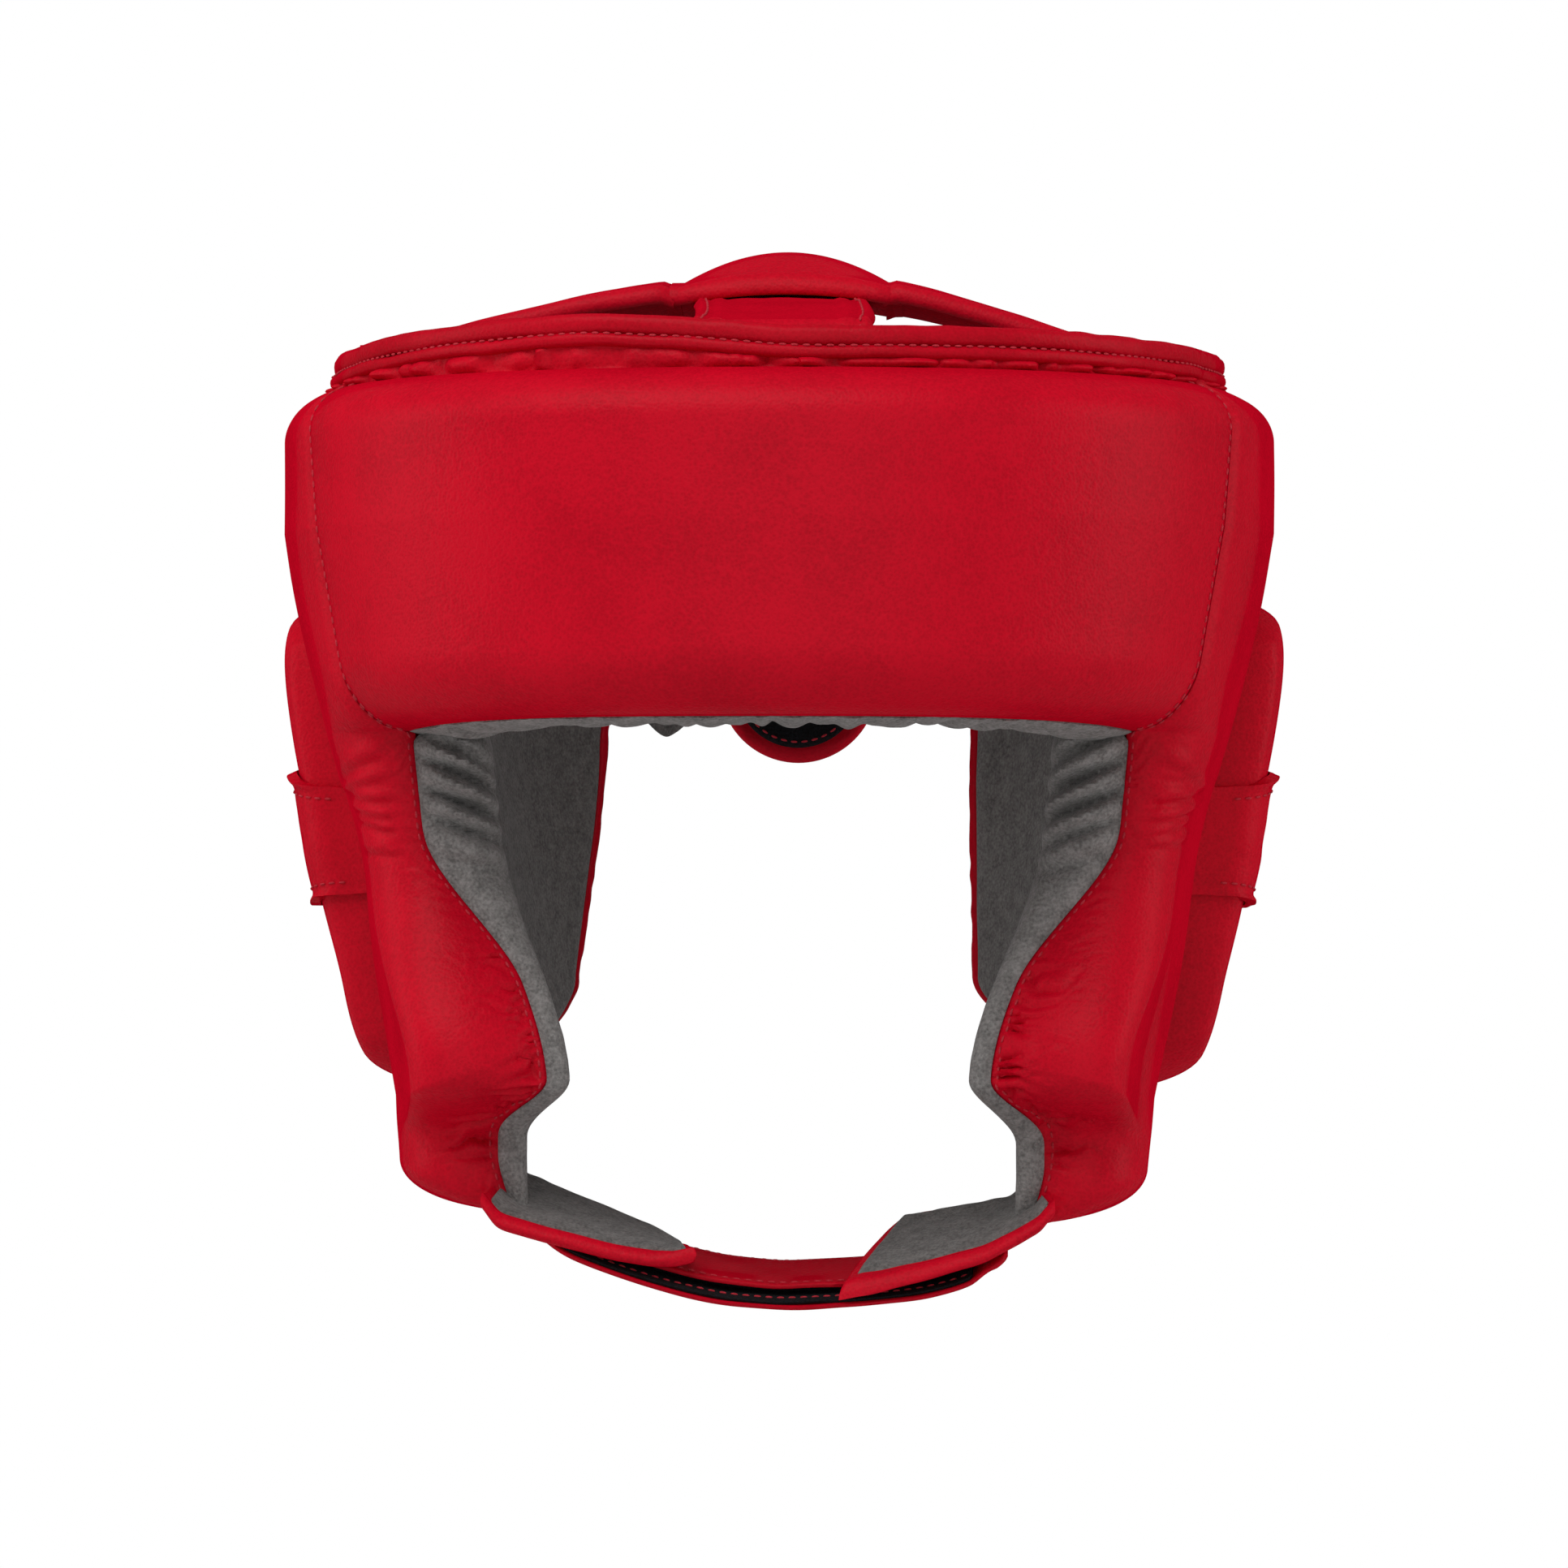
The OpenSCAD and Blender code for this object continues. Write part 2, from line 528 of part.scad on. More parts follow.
// The hook strap is sewn under the other flap, and closes under the loop strap
hook_end_x = -54;
hook_fold_x = 47;
hook_bend_x = 38;
hook_vs = [0, 0.08, 0.5, 0.92, 1];
fold_r = chin_strap_t / 2;
hook_mid = -2 * seam_gap - patch_t - fold_r;
hook_rise = flap_z(hook_fold_x) - chin_flap_t - 4 * seam_gap - fold_r - hook_mid - chin_z(hook_fold_x);
hook_share = function (x) clamp01((x - hook_bend_x) / (hook_fold_x - hook_bend_x));
hook_at = function (u, v, off)
    let (x = mix(hook_end_x, hook_fold_x, u), k = hook_share(x))
    let (slope = atan(2 * chin_sag * x / pow(strap_ref_x, 2)
        + 2 * hook_rise * k / (hook_fold_x - hook_bend_x)))
    across([x, chin_z(x) + hook_rise * k * k], slope, chin_tilt, v, off);
hook_us = concat([for (k = even(14)) k * (hook_bend_x - hook_end_x) / (hook_fold_x - hook_end_x)],
    [for (k = [1:5]) mix(hook_bend_x - hook_end_x, hook_fold_x - hook_end_x, k / 5) / (hook_fold_x - hook_end_x)]);
module chin_hook_strap() {
    color("crimson") union() {
        slab(hook_at, hook_us, hook_vs,
            function (u, v) hook_mid - fold_r, function (u, v) hook_mid + fold_r);
        translate(hook_at(1, 0, hook_mid)) rotate([chin_tilt - 90, 0, 0]) cylinder(r = fold_r + 0.3, h = chin_w, $fn = 32);
    }
}
module chin_hook_patch() {
    color("black") slab(hook_at, [for (k = even(14)) mix(0.01, 0.84, k)], [0.08, 0.5, 0.92],
        function (u, v) hook_mid + fold_r + seam_gap, function (u, v) -seam_gap);
}

forehead_cover();
forehead_foam();
forehead_lining();
side_cover(1);  // side_cover_left
side_cover(-1);  // side_cover_right
temple_foam(1);  // temple_foam_left
temple_foam(-1);  // temple_foam_right
cheek_foam(1);  // cheek_foam_left
cheek_foam(-1);  // cheek_foam_right
side_lining(1);  // side_lining_left
side_lining(-1);  // side_lining_right
rear_cover(1);  // rear_cover_left
rear_cover(-1);  // rear_cover_right
rear_foam(1);  // rear_foam_left
rear_foam(-1);  // rear_foam_right
rear_lining(1);  // rear_lining_left
rear_lining(-1);  // rear_lining_right
rear_piping(1);  // rear_piping_left
rear_piping(-1);  // rear_piping_right
back_panel();
back_loop_patch();
ear_pad_cover(1);  // ear_pad_cover_left
ear_pad_cover(-1);  // ear_pad_cover_right
ear_pad_foam(1);  // ear_pad_foam_left
ear_pad_foam(-1);  // ear_pad_foam_right
ear_band(1);  // ear_band_left
ear_band(-1);  // ear_band_right
top_gather();
rim_lower_roll();
rim_upper_roll();
crown_flap(1);  // crown_flap_left
crown_flap(-1);  // crown_flap_right
crown_guide();
crown_strap();
crown_tail();
crown_hook_patch();
chin_flap(1);  // chin_flap_left
chin_flap(-1);  // chin_flap_right
chin_flap_lining(1);  // chin_flap_lining_left
chin_flap_lining(-1);  // chin_flap_lining_right
chin_loop_strap();
chin_loop_patch();
chin_hook_strap();
chin_hook_patch();
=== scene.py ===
import math

import bpy
import numpy as np
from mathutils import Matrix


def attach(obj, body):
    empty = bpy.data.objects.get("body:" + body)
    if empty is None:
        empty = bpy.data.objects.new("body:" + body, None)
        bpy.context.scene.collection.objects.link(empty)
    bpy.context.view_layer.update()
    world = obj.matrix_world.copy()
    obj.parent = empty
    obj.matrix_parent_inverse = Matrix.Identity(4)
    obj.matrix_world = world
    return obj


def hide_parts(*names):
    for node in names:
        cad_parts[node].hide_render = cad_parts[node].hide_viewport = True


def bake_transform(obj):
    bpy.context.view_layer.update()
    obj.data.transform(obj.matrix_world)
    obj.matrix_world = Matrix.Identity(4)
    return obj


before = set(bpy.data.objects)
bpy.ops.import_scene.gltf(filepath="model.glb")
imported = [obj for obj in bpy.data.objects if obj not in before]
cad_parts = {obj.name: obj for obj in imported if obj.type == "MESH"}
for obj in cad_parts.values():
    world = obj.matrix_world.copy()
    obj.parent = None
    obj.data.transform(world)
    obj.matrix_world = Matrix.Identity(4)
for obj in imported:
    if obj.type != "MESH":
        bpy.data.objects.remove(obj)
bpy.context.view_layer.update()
print("frame loaded")

# Form of the padded shell, in millimetres and degrees: the construction's, eased a little at the eye corners
# and cheek tips. A step of the free edge is its change in thickness, the height it starts at and its run down
shell = dict(
    headWidth=168, headDepth=200, jawLean=21, faceIn=7, napeIn=8, planPower=2.5,
    upperZ=60, jawZ=-75, browZ=15, browDip=3, topZ=94, cheekZ=-102, napeZ=-74,
    padThick=37, padEdge=21, cheekEdge=8, cheekEdgeZ=-48, cheekEdgeRun=38, edgeSteps=((5, -69, 13), (-3, -88, 14)),
    padRound=22, topRound=12, tipRound=12, seamDip=0.07, rimInset=14.5, rimBack=7, rimFrom=76, rimRun=64,
    seamTop=55, seamBrow=48, cheekReach=15.5, cheekMidZ=-70, cheekPower=0.85, eyeLowZ=-14,
    tipBack=9.5, tipTurn=14, browRound=16, tipStartZ=-26, tipBackA=61.5, tipPower=0.9, sideBack=88, seamGap=0.4)
mmPerDeg = math.pi / 180 * shell["headDepth"] / 2
gapA = shell["seamGap"] / mmPerDeg


def clamp01(x):
    return np.clip(x, 0, 1)


def mix(a, b, t):
    return a + (b - a) * t


def smooth(x):
    t = clamp01(x)
    return t * t * (3 - 2 * t)


def bump(x, centre, width):
    return np.exp(-((x - centre) / width) ** 2)


def edgeRound(d, r):
    return np.sqrt(np.clip(1 - (1 - np.clip(d, 0, r) / r) ** 2, 0, 1))


def spacing(n, ends=0.5):
    t = np.linspace(0, 1, n)
    return mix(t, (1 - np.cos(np.pi * t)) / 2, ends)


def rowsAndColumns(v, u):
    return np.meshgrid(v, u, indexing="ij")


# There and back across a strip: its share of the width, and 1 on the top face or a given value on the under face
def roundTrip(n, under):
    t = spacing(n, 0.9)
    return np.concatenate([t, 1 - t[1:-1]]), np.concatenate([np.ones(n), np.full(n - 2, under)])


# A line evened out by a window of odd length, carried on past its ends by turning it about them
def evened(line, window):
    kernel, half = np.hanning(window) / np.hanning(window).sum(), window // 2
    grown = np.concatenate([2 * line[0] - line[half:0:-1], line, 2 * line[-1] - line[-2:-2 - half:-1]])
    return np.convolve(grown, kernel, "valid")


# Smooth random waves along one line, the same on every run
def waves(x, seed):
    table = np.random.default_rng(seed).uniform(-1, 1, 512)
    i = np.floor(x).astype(int)
    t = smooth(x - i)
    return mix(table[i % 512], table[(i + 1) % 512], t)


def waves2(x, y, seed):
    table = np.random.default_rng(seed).uniform(-1, 1, (128, 128))
    i, j = np.floor(x).astype(int), np.floor(y).astype(int)
    s, t = smooth(x - i), smooth(y - j)
    low = mix(table[i % 128, j % 128], table[(i + 1) % 128, j % 128], s)
    high = mix(table[i % 128, (j + 1) % 128], table[(i + 1) % 128, (j + 1) % 128], s)
    return mix(low, high, t)


def jawShare(z):
    return clamp01((shell["upperZ"] - z) / (shell["upperZ"] - shell["jawZ"]))


# Point at azimuth a (0 is the front, 90 is +X), height z, and distance off outside the head cavity
def shellPoint(a, z, off):
    a, z, off = np.broadcast_arrays(np.asarray(a, float), np.asarray(z, float), np.asarray(off, float))
    c, s, n = np.cos(np.radians(a)), np.sin(np.radians(a)), shell["planPower"]
    w = shell["headWidth"] / 2 - shell["jawLean"] * jawShare(z)
    d = shell["headDepth"] / 2 - np.where(c > 0, shell["faceIn"], shell["napeIn"]) * jawShare(z)
    r = (np.abs(s / w) ** n + np.abs(c / d) ** n) ** (-1 / n)
    gx = np.sign(s) * (r * np.abs(s) / w) ** (n - 1) / w
    gy = -np.sign(c) * (r * np.abs(c) / d) ** (n - 1) / d
    g = np.hypot(gx, gy)
    return np.stack([r * s + off * gx / g, -r * c + off * gy / g, z], -1)


# Waves over the shell, with the sizes of one wave along and up in mm
def shellWaves(a, z, along, up, seed):
    return waves2(a * mmPerDeg / along + 40, z / up + 40, seed)


def seamA(z):
    return mix(shell["seamBrow"], shell["seamTop"], clamp01((z - shell["browZ"]) / (shell["topZ"] - shell["browZ"])))


# How far the cheek reaches forward; below its middle the edge falls back to the tip
def cheekFull(z):
    down = clamp01((shell["eyeLowZ"] - z) / (shell["eyeLowZ"] - shell["cheekMidZ"]))
    return smooth(down ** shell["cheekPower"])


def cheekIn(z):
    return cheekFull(z) - shell["tipBack"] / shell["cheekReach"] * smooth((shell["cheekMidZ"] - z) / shell["tipTurn"])


def sideFrontA(z, reach=cheekIn):
    return np.where(z > shell["browZ"], seamA(z), shell["seamBrow"] - shell["cheekReach"] * reach(z)) + gapA


def sideRearA(z):
    down = clamp01((shell["tipStartZ"] - z) / (shell["tipStartZ"] - shell["cheekZ"]))
    return mix(shell["sideBack"], shell["tipBackA"], down ** shell["tipPower"])


def edgeThick(z):
    thick = mix(shell["cheekEdge"], shell["padEdge"], smooth((z - shell["cheekEdgeZ"]) / shell["cheekEdgeRun"]))
    for change, fromZ, run in shell["edgeSteps"]:
        thick = thick + change * smooth((fromZ - z) / run)
    return thick


def topShare(z):
    low = (shell["padThick"] - shell["rimInset"] - shell["padEdge"]) / (shell["padThick"] - shell["padEdge"])
    return mix(low, 1, edgeRound(shell["topZ"] - z, shell["topRound"]))


def rimOff(a):
    a = np.abs((np.asarray(a, float) + 180) % 360 - 180)
    rear = smooth((a - shell["rimFrom"]) / shell["rimRun"])
    return mix(shell["padThick"] - shell["rimInset"], shell["rimBack"], rear)


# Materials
def hexColour(text):
    v = [int(text[i:i + 2], 16) / 255 for i in (1, 3, 5)]
    return [x / 12.92 if x <= 0.04045 else ((x + 0.055) / 1.055) ** 2.4 for x in v] + [1]


def addNode(tree, kind, links=None, **settings):
    n = tree.nodes.new(kind)
    for key, value in settings.items():
        if key in n.inputs:
            n.inputs[key].default_value = value
        else:
            setattr(n, key, value)
    for name, source in (links or {}).items():
        tree.links.new(source, n.inputs[name])
    return n


def newMaterial(name, **settings):
    m = bpy.data.materials.new(name)
    m.use_nodes = True
    tree = m.node_tree
    tree.nodes.clear()
    shader = addNode(tree, "ShaderNodeBsdfPrincipled", **settings)
    addNode(tree, "ShaderNodeOutputMaterial", {"Surface": shader.outputs["BSDF"]})
    place = {"Vector": addNode(tree, "ShaderNodeTexCoord").outputs["Object"]}
    return m, tree, shader, place


# Colour from dark to light by a share, and the relief of the surface
def dress(tree, shader, share, colours, stops, height, strength, depth):
    tone = addNode(tree, "ShaderNodeValToRGB", {"Fac": share})
    for end, colour, stop in zip(tone.color_ramp.elements, colours, stops):
        end.color, end.position = hexColour(colour), stop
    relief = addNode(tree, "ShaderNodeBump", {"Height": height}, Strength=strength, Distance=depth)
    tree.links.new(tone.outputs["Color"], shader.inputs["Base Color"])
    tree.links.new(relief.outputs["Normal"], shader.inputs["Normal"])


# Leather: coated, with a pebble grain of about 0.8 mm, wrinkles of about 1.6 mm and slow changes of tone
# over about 22 mm. It has a dull, broken gloss
def leather(name, colours, rough, grain):
    m, tree, shader, place = newMaterial(name)
    slow = addNode(tree, "ShaderNodeTexNoise", place, Scale=45, Detail=3).outputs["Fac"]
    cells = addNode(tree, "ShaderNodeTexVoronoi", place, Scale=1250, Randomness=1).outputs["Distance"]
    fine = addNode(tree, "ShaderNodeTexNoise", place, Scale=620, Detail=4).outputs["Fac"]
    both = addNode(tree, "ShaderNodeMath", {0: cells, 1: fine}, operation="ADD").outputs[0]
    # the hollows of the grain are darker
    mottle = addNode(tree, "ShaderNodeMath", {0: both, 2: slow}, operation="MULTIPLY_ADD")
    mottle.inputs[1].default_value = 0.6
    share = addNode(tree, "ShaderNodeMapRange", {"Value": mottle.outputs[0]}, **{"From Min": 0.75, "From Max": 1.3})
    dress(tree, shader, share.outputs["Result"], colours, (0, 1), both, grain, 0.0004)
    shine = addNode(tree, "ShaderNodeMapRange", {"Value": slow}, **{"To Min": rough - 0.05, "To Max": rough + 0.06})
    tree.links.new(shine.outputs["Result"], shader.inputs["Roughness"])
    # the grain kills the gloss at a glancing angle
    facing = addNode(tree, "ShaderNodeLayerWeight", Blend=0.5).outputs["Facing"]
    gloss = addNode(tree, "ShaderNodeMapRange", {"Value": facing}, **{"From Max": 0.8, "To Min": 0.08, "To Max": 0})
    tree.links.new(gloss.outputs["Result"], shader.inputs["Specular IOR Level"])
    return m


# Suede: brushed nap, mottled over about 4 mm where the fibres lie different ways, and quite matt
def suede(name, colours):
    m, tree, shader, place = newMaterial(name, **{
        "Roughness": 0.95, "Specular IOR Level": 0.15, "Sheen Weight": 0.12, "Sheen Roughness": 0.5})
    nap = addNode(tree, "ShaderNodeTexNoise", place, Scale=260, Detail=8, Roughness=0.7).outputs["Fac"]
    # fibres, drawn coarse at about 0.8 mm so that they show
    fibre = addNode(tree, "ShaderNodeTexNoise", place, Scale=1300, Detail=3).outputs["Fac"]
    both = addNode(tree, "ShaderNodeMath", {0: nap, 1: fibre}, operation="ADD").outputs[0]
    share = addNode(tree, "ShaderNodeMapRange", {"Value": both}, **{"From Min": 0.75, "From Max": 1.25})
    dress(tree, shader, share.outputs["Result"], colours, (0, 1), fibre, 0.8, 0.0006)
    return m


# Woven or hooked cloth and thread: rough and matt, with a relief of threads or hooks of 0.4 to 0.8 mm
def cloth(name, colours, scale, strength):
    m, tree, shader, place = newMaterial(name, **{"Roughness": 0.9, "Specular IOR Level": 0.2})
    fuzz = addNode(tree, "ShaderNodeTexNoise", place, Scale=scale, Detail=4).outputs["Fac"]
    dress(tree, shader, fuzz, colours, (0.35, 0.65), fuzz, strength, 0.0006)
    return m


redLeather = leather("red leather", ("#b1061d", "#c60822"), 0.42, 0.22)
edgeLeather = leather("red edge leather", ("#aa061a", "#bb071f"), 0.4, 0.16)
greySuede = suede("grey suede", ("#5f5d5b", "#8d8a88"))
# The second suede is the same suede with its colours painted darker. It is painted shade for the linings deep inside
# the back panels, the back panel and the chin flaps
suedePaintedShade = suede("grey suede, painted shade", ("#4f4d4b", "#787573"))
hookTape = cloth("black hook tape", ("#070708", "#16161a"), 1500, 0.9)
elasticCloth = cloth("red elastic cloth", ("#860b17", "#9c0e1c"), 1200, 0.4)
thread = cloth("red thread", ("#a8222e", "#c03541"), 2500, 0.3)
print("materials made")


# Meshes. A grid of points has rows along its first axis; du x dv points outward
def gridNormals(p):
    n = np.cross(np.gradient(p, axis=1), np.gradient(p, axis=0))
    return n / np.maximum(np.linalg.norm(n, axis=-1, keepdims=True), 1e-9)


def gridQuads(index, wrapU=False, wrapV=False):
    a = np.concatenate([index, index[:, :1]], 1) if wrapU else index
    a = np.concatenate([a, a[:1]], 0) if wrapV else a
    return np.stack([a[:-1, :-1], a[:-1, 1:], a[1:, 1:], a[1:, :-1]], -1).reshape(-1, 4)


# The two closures, each with two points where it is sewn on, are baked in place rather than hung on a body
sewn = dict(crown_tail=((0, 110, 79.5), (0, 110, 69)), chin_hook=((52, -57, -113), (42, -57, -113)))


def moveWith(o, body):
    if body in sewn:
        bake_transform(o)
    else:
        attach(o, body)


# One piece from points in mm. side -1 mirrors it to the wearer's right
def makePiece(name, points, faces, material, nodes, body, side):
    mesh = bpy.data.meshes.new(name)
    points = np.asarray(points).reshape(-1, 3) * [side, 1, 1] / 1000
    mesh.from_pydata(points.tolist(), [], [list(map(int, f))[::side] for f in faces])
    mesh.validate()
    mesh.shade_smooth()
    mesh.set_sharp_from_angle(angle=math.radians(60))
    mesh.materials.append(material)
    o = bpy.data.objects.new(name, mesh)
    bpy.context.scene.collection.objects.link(o)
    moveWith(o, body)
    if nodes:
        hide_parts(*nodes)
    return o


# A sheet of a given thickness from a grid, closed round its edges
def sheet(name, p, thick, material, nodes, side=1):
    q = p - gridNormals(p) * np.broadcast_to(thick, p.shape[:2])[..., None]
    top = np.arange(p[..., 0].size).reshape(p.shape[:2])
    low = top + top.size
    faces = [gridQuads(top), gridQuads(low)[:, ::-1]]
    for edge, turn in ((np.s_[0], 1), (np.s_[-1], -1), (np.s_[:, 0], -1), (np.s_[:, -1], 1)):
        t, b = top[edge], low[edge]
        faces.append(np.stack([b[:-1], b[1:], t[1:], t[:-1]], -1)[:, ::turn])
    return makePiece(name, [p, q], np.concatenate(faces), material, nodes, "shell", side)


# A tube through rings of points; open ones get flat ends
def tube(name, rings, material, nodes, body="shell", closed=False, side=1):
    index = np.arange(rings[..., 0].size).reshape(rings.shape[:2])
    faces = gridQuads(index.T, closed, True).tolist()
    if not closed:
        faces += [index[0].tolist(), index[-1][::-1].tolist()]
    return makePiece(name, rings, faces, material, nodes, body, side)


# Paths for the stitches, gathered by body while the pieces are made
stitchPaths = {"shell": [], "crown_tail": [], "chin_hook": []}


def addStitches(body, points, side=1):
    stitchPaths[body].append(np.asarray(points) * [side, 1, 1])


def liftedLine(p, rows, cols, lift=0.12):
    return (p + lift * gridNormals(p))[rows, cols]


# Pads. Covers are leather sheets over the foam, skived where they turn in; the seams between them are shallow grooves
pads = dict(
    coverThick=1.4, liningThick=1.2, skived=0.2, groove=0.9, grooveWidth=1.8, seamFade=14,
    tuck=((1.2, 0.1), (3, 0.5), (5, 1)), wall=(0.1, 0.35, 0.6, 0.85), inner=0.4)
browLow = shell["browZ"] - shell["browDip"]


# Height of both covers along the seam between forehead and side, then of the free edge below it
def frontEdge(z):
    rise = edgeRound(z - browLow, shell["browRound"]) * topShare(z) * (1 - shell["seamDip"])
    return np.where(z > browLow, shell["padEdge"] + (shell["padThick"] - shell["padEdge"]) * rise, edgeThick(z))


def seamGroove(distance):
    return pads["groove"] * np.exp(-(distance / pads["grooveWidth"]) ** 2)


# Forehead: one broad pad that rolls under at the brow
forehead = dict(across=241, up=121, swell=0.25, swellSize=26, topTurn=3)
v, u = rowsAndColumns(spacing(forehead["up"], 1), spacing(forehead["across"], 0.6))
zLow = shell["browZ"] - shell["browDip"] * np.abs(2 * u - 1) ** 3
z = mix(zLow, shell["topZ"], v)
a = mix(-1, 1, u) * seamA(z)
toSeam = (seamA(z) - np.abs(a)) * mmPerDeg
seam = 1 - shell["seamDip"] * (1 - edgeRound(toSeam, shell["padRound"]))
rollUnder = edgeRound((shell["topZ"] - shell["browZ"]) * v, shell["browRound"])
off = shell["padEdge"] + (shell["padThick"] - shell["padEdge"]) * seam * topShare(z) * rollUnder - seamGroove(toSeam)
off = off + forehead["swell"] * smooth(toSeam / pads["seamFade"]) * shellWaves(
    a, z, forehead["swellSize"], forehead["swellSize"], 3)
for deep, rise in pads["tuck"]:
    z, a = np.vstack([zLow[:1] + rise, z]), np.vstack([a[:1], a])
    off = np.vstack([np.full_like(off[:1], shell["padEdge"] - deep), off])
z, a = np.vstack([z, z[-1:] + 0.2]), np.vstack([a, a[-1:]])
p = shellPoint(a, z, np.vstack([off, off[-1:] - forehead["topTurn"]]))
for col in (9, -10):
    addStitches("shell", liftedLine(p, slice(8, -6), col))
o = sheet("forehead_pad_cover", p, pads["coverThick"], redLeather, ["forehead_cover", "forehead_foam"])
print("forehead cover made")

# Side pads: temple and cheek in one. Each crease is height, slope, length, depth, width in mm
sides = dict(
    along=121, up=361, waist=0.25, waistHigh=16, swell=0.4, swellSize=24, thin=5.8, thinAbove=0.02, tipEdge=15,
    cheekRound=12, gather=2.6, gatherPitch=4, gatherReach=8, valley=1.8, valleyZ=-84, sag=dict(left=2.5, right=0),
    sagZ=-66, sagRun=30,
    creases=((5, 0.35, 15, 1.1, 1.3), (1, 0.2, 20, 0.9, 1.1), (-6, -0.1, 34, 1, 1.2), (-9.5, -0.16, 30, 1.2, 1.1),
             (-13, -0.2, 26, 1, 1.1), (-17, -0.05, 18, 0.8, 1.1)))


# The tip of one cheek hangs a little lower than the other
def sag(p, word):
    p[..., 2] -= sides["sag"][word] * smooth((sides["sagZ"] - p[..., 2]) / sides["sagRun"])
    return p


def sideCoverGrid(seed):
    v, u = rowsAndColumns(spacing(sides["up"], 0.5), spacing(sides["along"], 1))
    z = mix(shell["cheekZ"], shell["topZ"], v)
    f, r = sideFrontA(z), sideRearA(z)
    a = mix(f, r, u)
    fromEdge, toRear = (a - f) * mmPerDeg, (r - a) * mmPerDeg
    edge = frontEdge(z)
    waist = 1 - sides["waist"] * bump(z, shell["eyeLowZ"], sides["waistHigh"]) * (1 - u)
    full = (shell["padThick"] - edgeThick(z)) * edgeRound(toRear, shell["padRound"]) * waist * topShare(z)
    full = edgeThick(z) + full * edgeRound(z - shell["cheekZ"], shell["tipRound"])
    # the pillow thins towards the back, and its front edge rounds over more tightly at the cheek
    pillow = fromEdge + (f - sideFrontA(z, cheekFull)) * mmPerDeg
    thin = sides["thin"] * mix(sides["thinAbove"], 1, smooth((52 - z) / 80))
    full = full - thin * smooth(pillow / 30) * edgeRound(toRear, 8)
    local = edgeRound(fromEdge, 0.05 + sides["tipEdge"] * smooth((shell["cheekMidZ"] + 6 - z) / 14))
    over = mix(shell["padRound"], sides["cheekRound"], smooth((-26 - z) / 40))
    off = edge + (full - edge) * edgeRound(pillow, over) * local
    free = smooth((shell["browZ"] + 2 - z) / 10)
    off = off - seamGroove(fromEdge) * (1 - free)
    rise = sides["swell"] * shellWaves(a, z, sides["swellSize"], sides["swellSize"], seed)
    rise = rise * mix(smooth(fromEdge / pads["seamFade"]), 1, free)
    # gathers along the sewn edge, strongest round the cheek
    line = shellPoint(f[:, 0], z[:, 0], edge[:, 0])
    s = np.concatenate([[0], np.cumsum(np.linalg.norm(np.diff(line, axis=0), axis=1))])[:, None]
    base = shellPoint(a, z, off)
    along = np.linalg.norm(np.diff(base, axis=1), axis=2).cumsum(1)
    along = np.hstack([0 * along[:, :1], along])
    strong = 0.2 + 0.8 * smooth((z + 92) / 8) * smooth((-36 - z) / 12)
    reach = sides["gatherReach"] + 4 * waves(s / 3, seed + 1)
    wander = waves2(along / 5 + 9, s / 6 + 9, seed + 3)
    ridges = np.abs(np.sin(math.pi * (s / sides["gatherPitch"] + wander))) - 0.9
    ridges = ridges * (0.85 + 0.3 * waves(s / 5, seed + 2))
    ridges = free * strong * sides["gather"] * ridges * np.exp(-(along / reach) ** 2)
    rise = rise + ridges * smooth((along + 0.7) / 1.6)
    jitter = np.random.default_rng(seed).uniform(-1, 1, len(sides["creases"]))
    for (cz, slope, length, depth, width), push in zip(sides["creases"], jitter):
        across = z - (cz + push - slope * fromEdge)
        fade = np.exp(-(fromEdge / length) ** 2) * smooth(fromEdge / 3)
        rise = rise - depth * fade * (bump(across, 0, width) - 0.6 * bump(across, 2.2 * width, 1.3 * width))
    valley = sides["valley"] * bump(z, sides["valleyZ"] - 0.12 * fromEdge, 6) * np.exp(-(fromEdge / 15) ** 2)
    p = base + gridNormals(base) * (rise - valley)[..., None]
    # the front edge turns in, and the back and the bottom close on the lining
    rear = np.array([pads["wall"][::-1]])
    a = np.hstack([f[:, :1] + 0.5 / mmPerDeg, a, r[:, :1] - 0.1 + 0 * rear])
    off = np.hstack([off[:, :1] - 2, off, off[:, -1:] * rear + pads["inner"]])
    z = np.hstack([z[:, :1], z, z[:, :1] + 0 * rear])
    turned = shellPoint(a, z, off)
    p = np.concatenate([turned[:, :1], p, turned[:, -len(pads["wall"]):]], 1)
    low = [shellPoint(a[:1], z[:1] + up, np.minimum(off[:1], most)) for most, up in ((7, 0.6), (12, 0.3))]
    high = shellPoint(a[-1:], z[-1:] + 0.2, np.maximum(off[-1:] - 4, pads["inner"]))
    return np.concatenate(low + [p, high], 0)


for side, word, seed in ((1, "left", 11), (-1, "right", 31)):
    p = sag(sideCoverGrid(seed), word)
    addStitches("shell", liftedLine(p, slice(5, 217), 1, 0.1), side)
    thick = np.full(p.shape[:2], pads["coverThick"])
    thick[:5], thick[:, -7:] = pads["skived"], pads["skived"]
    o = sheet("side_pad_cover_" + word, p, thick, redLeather,
              ["side_cover_" + word, "temple_foam_" + word, "cheek_foam_" + word], side)
print("side covers made")

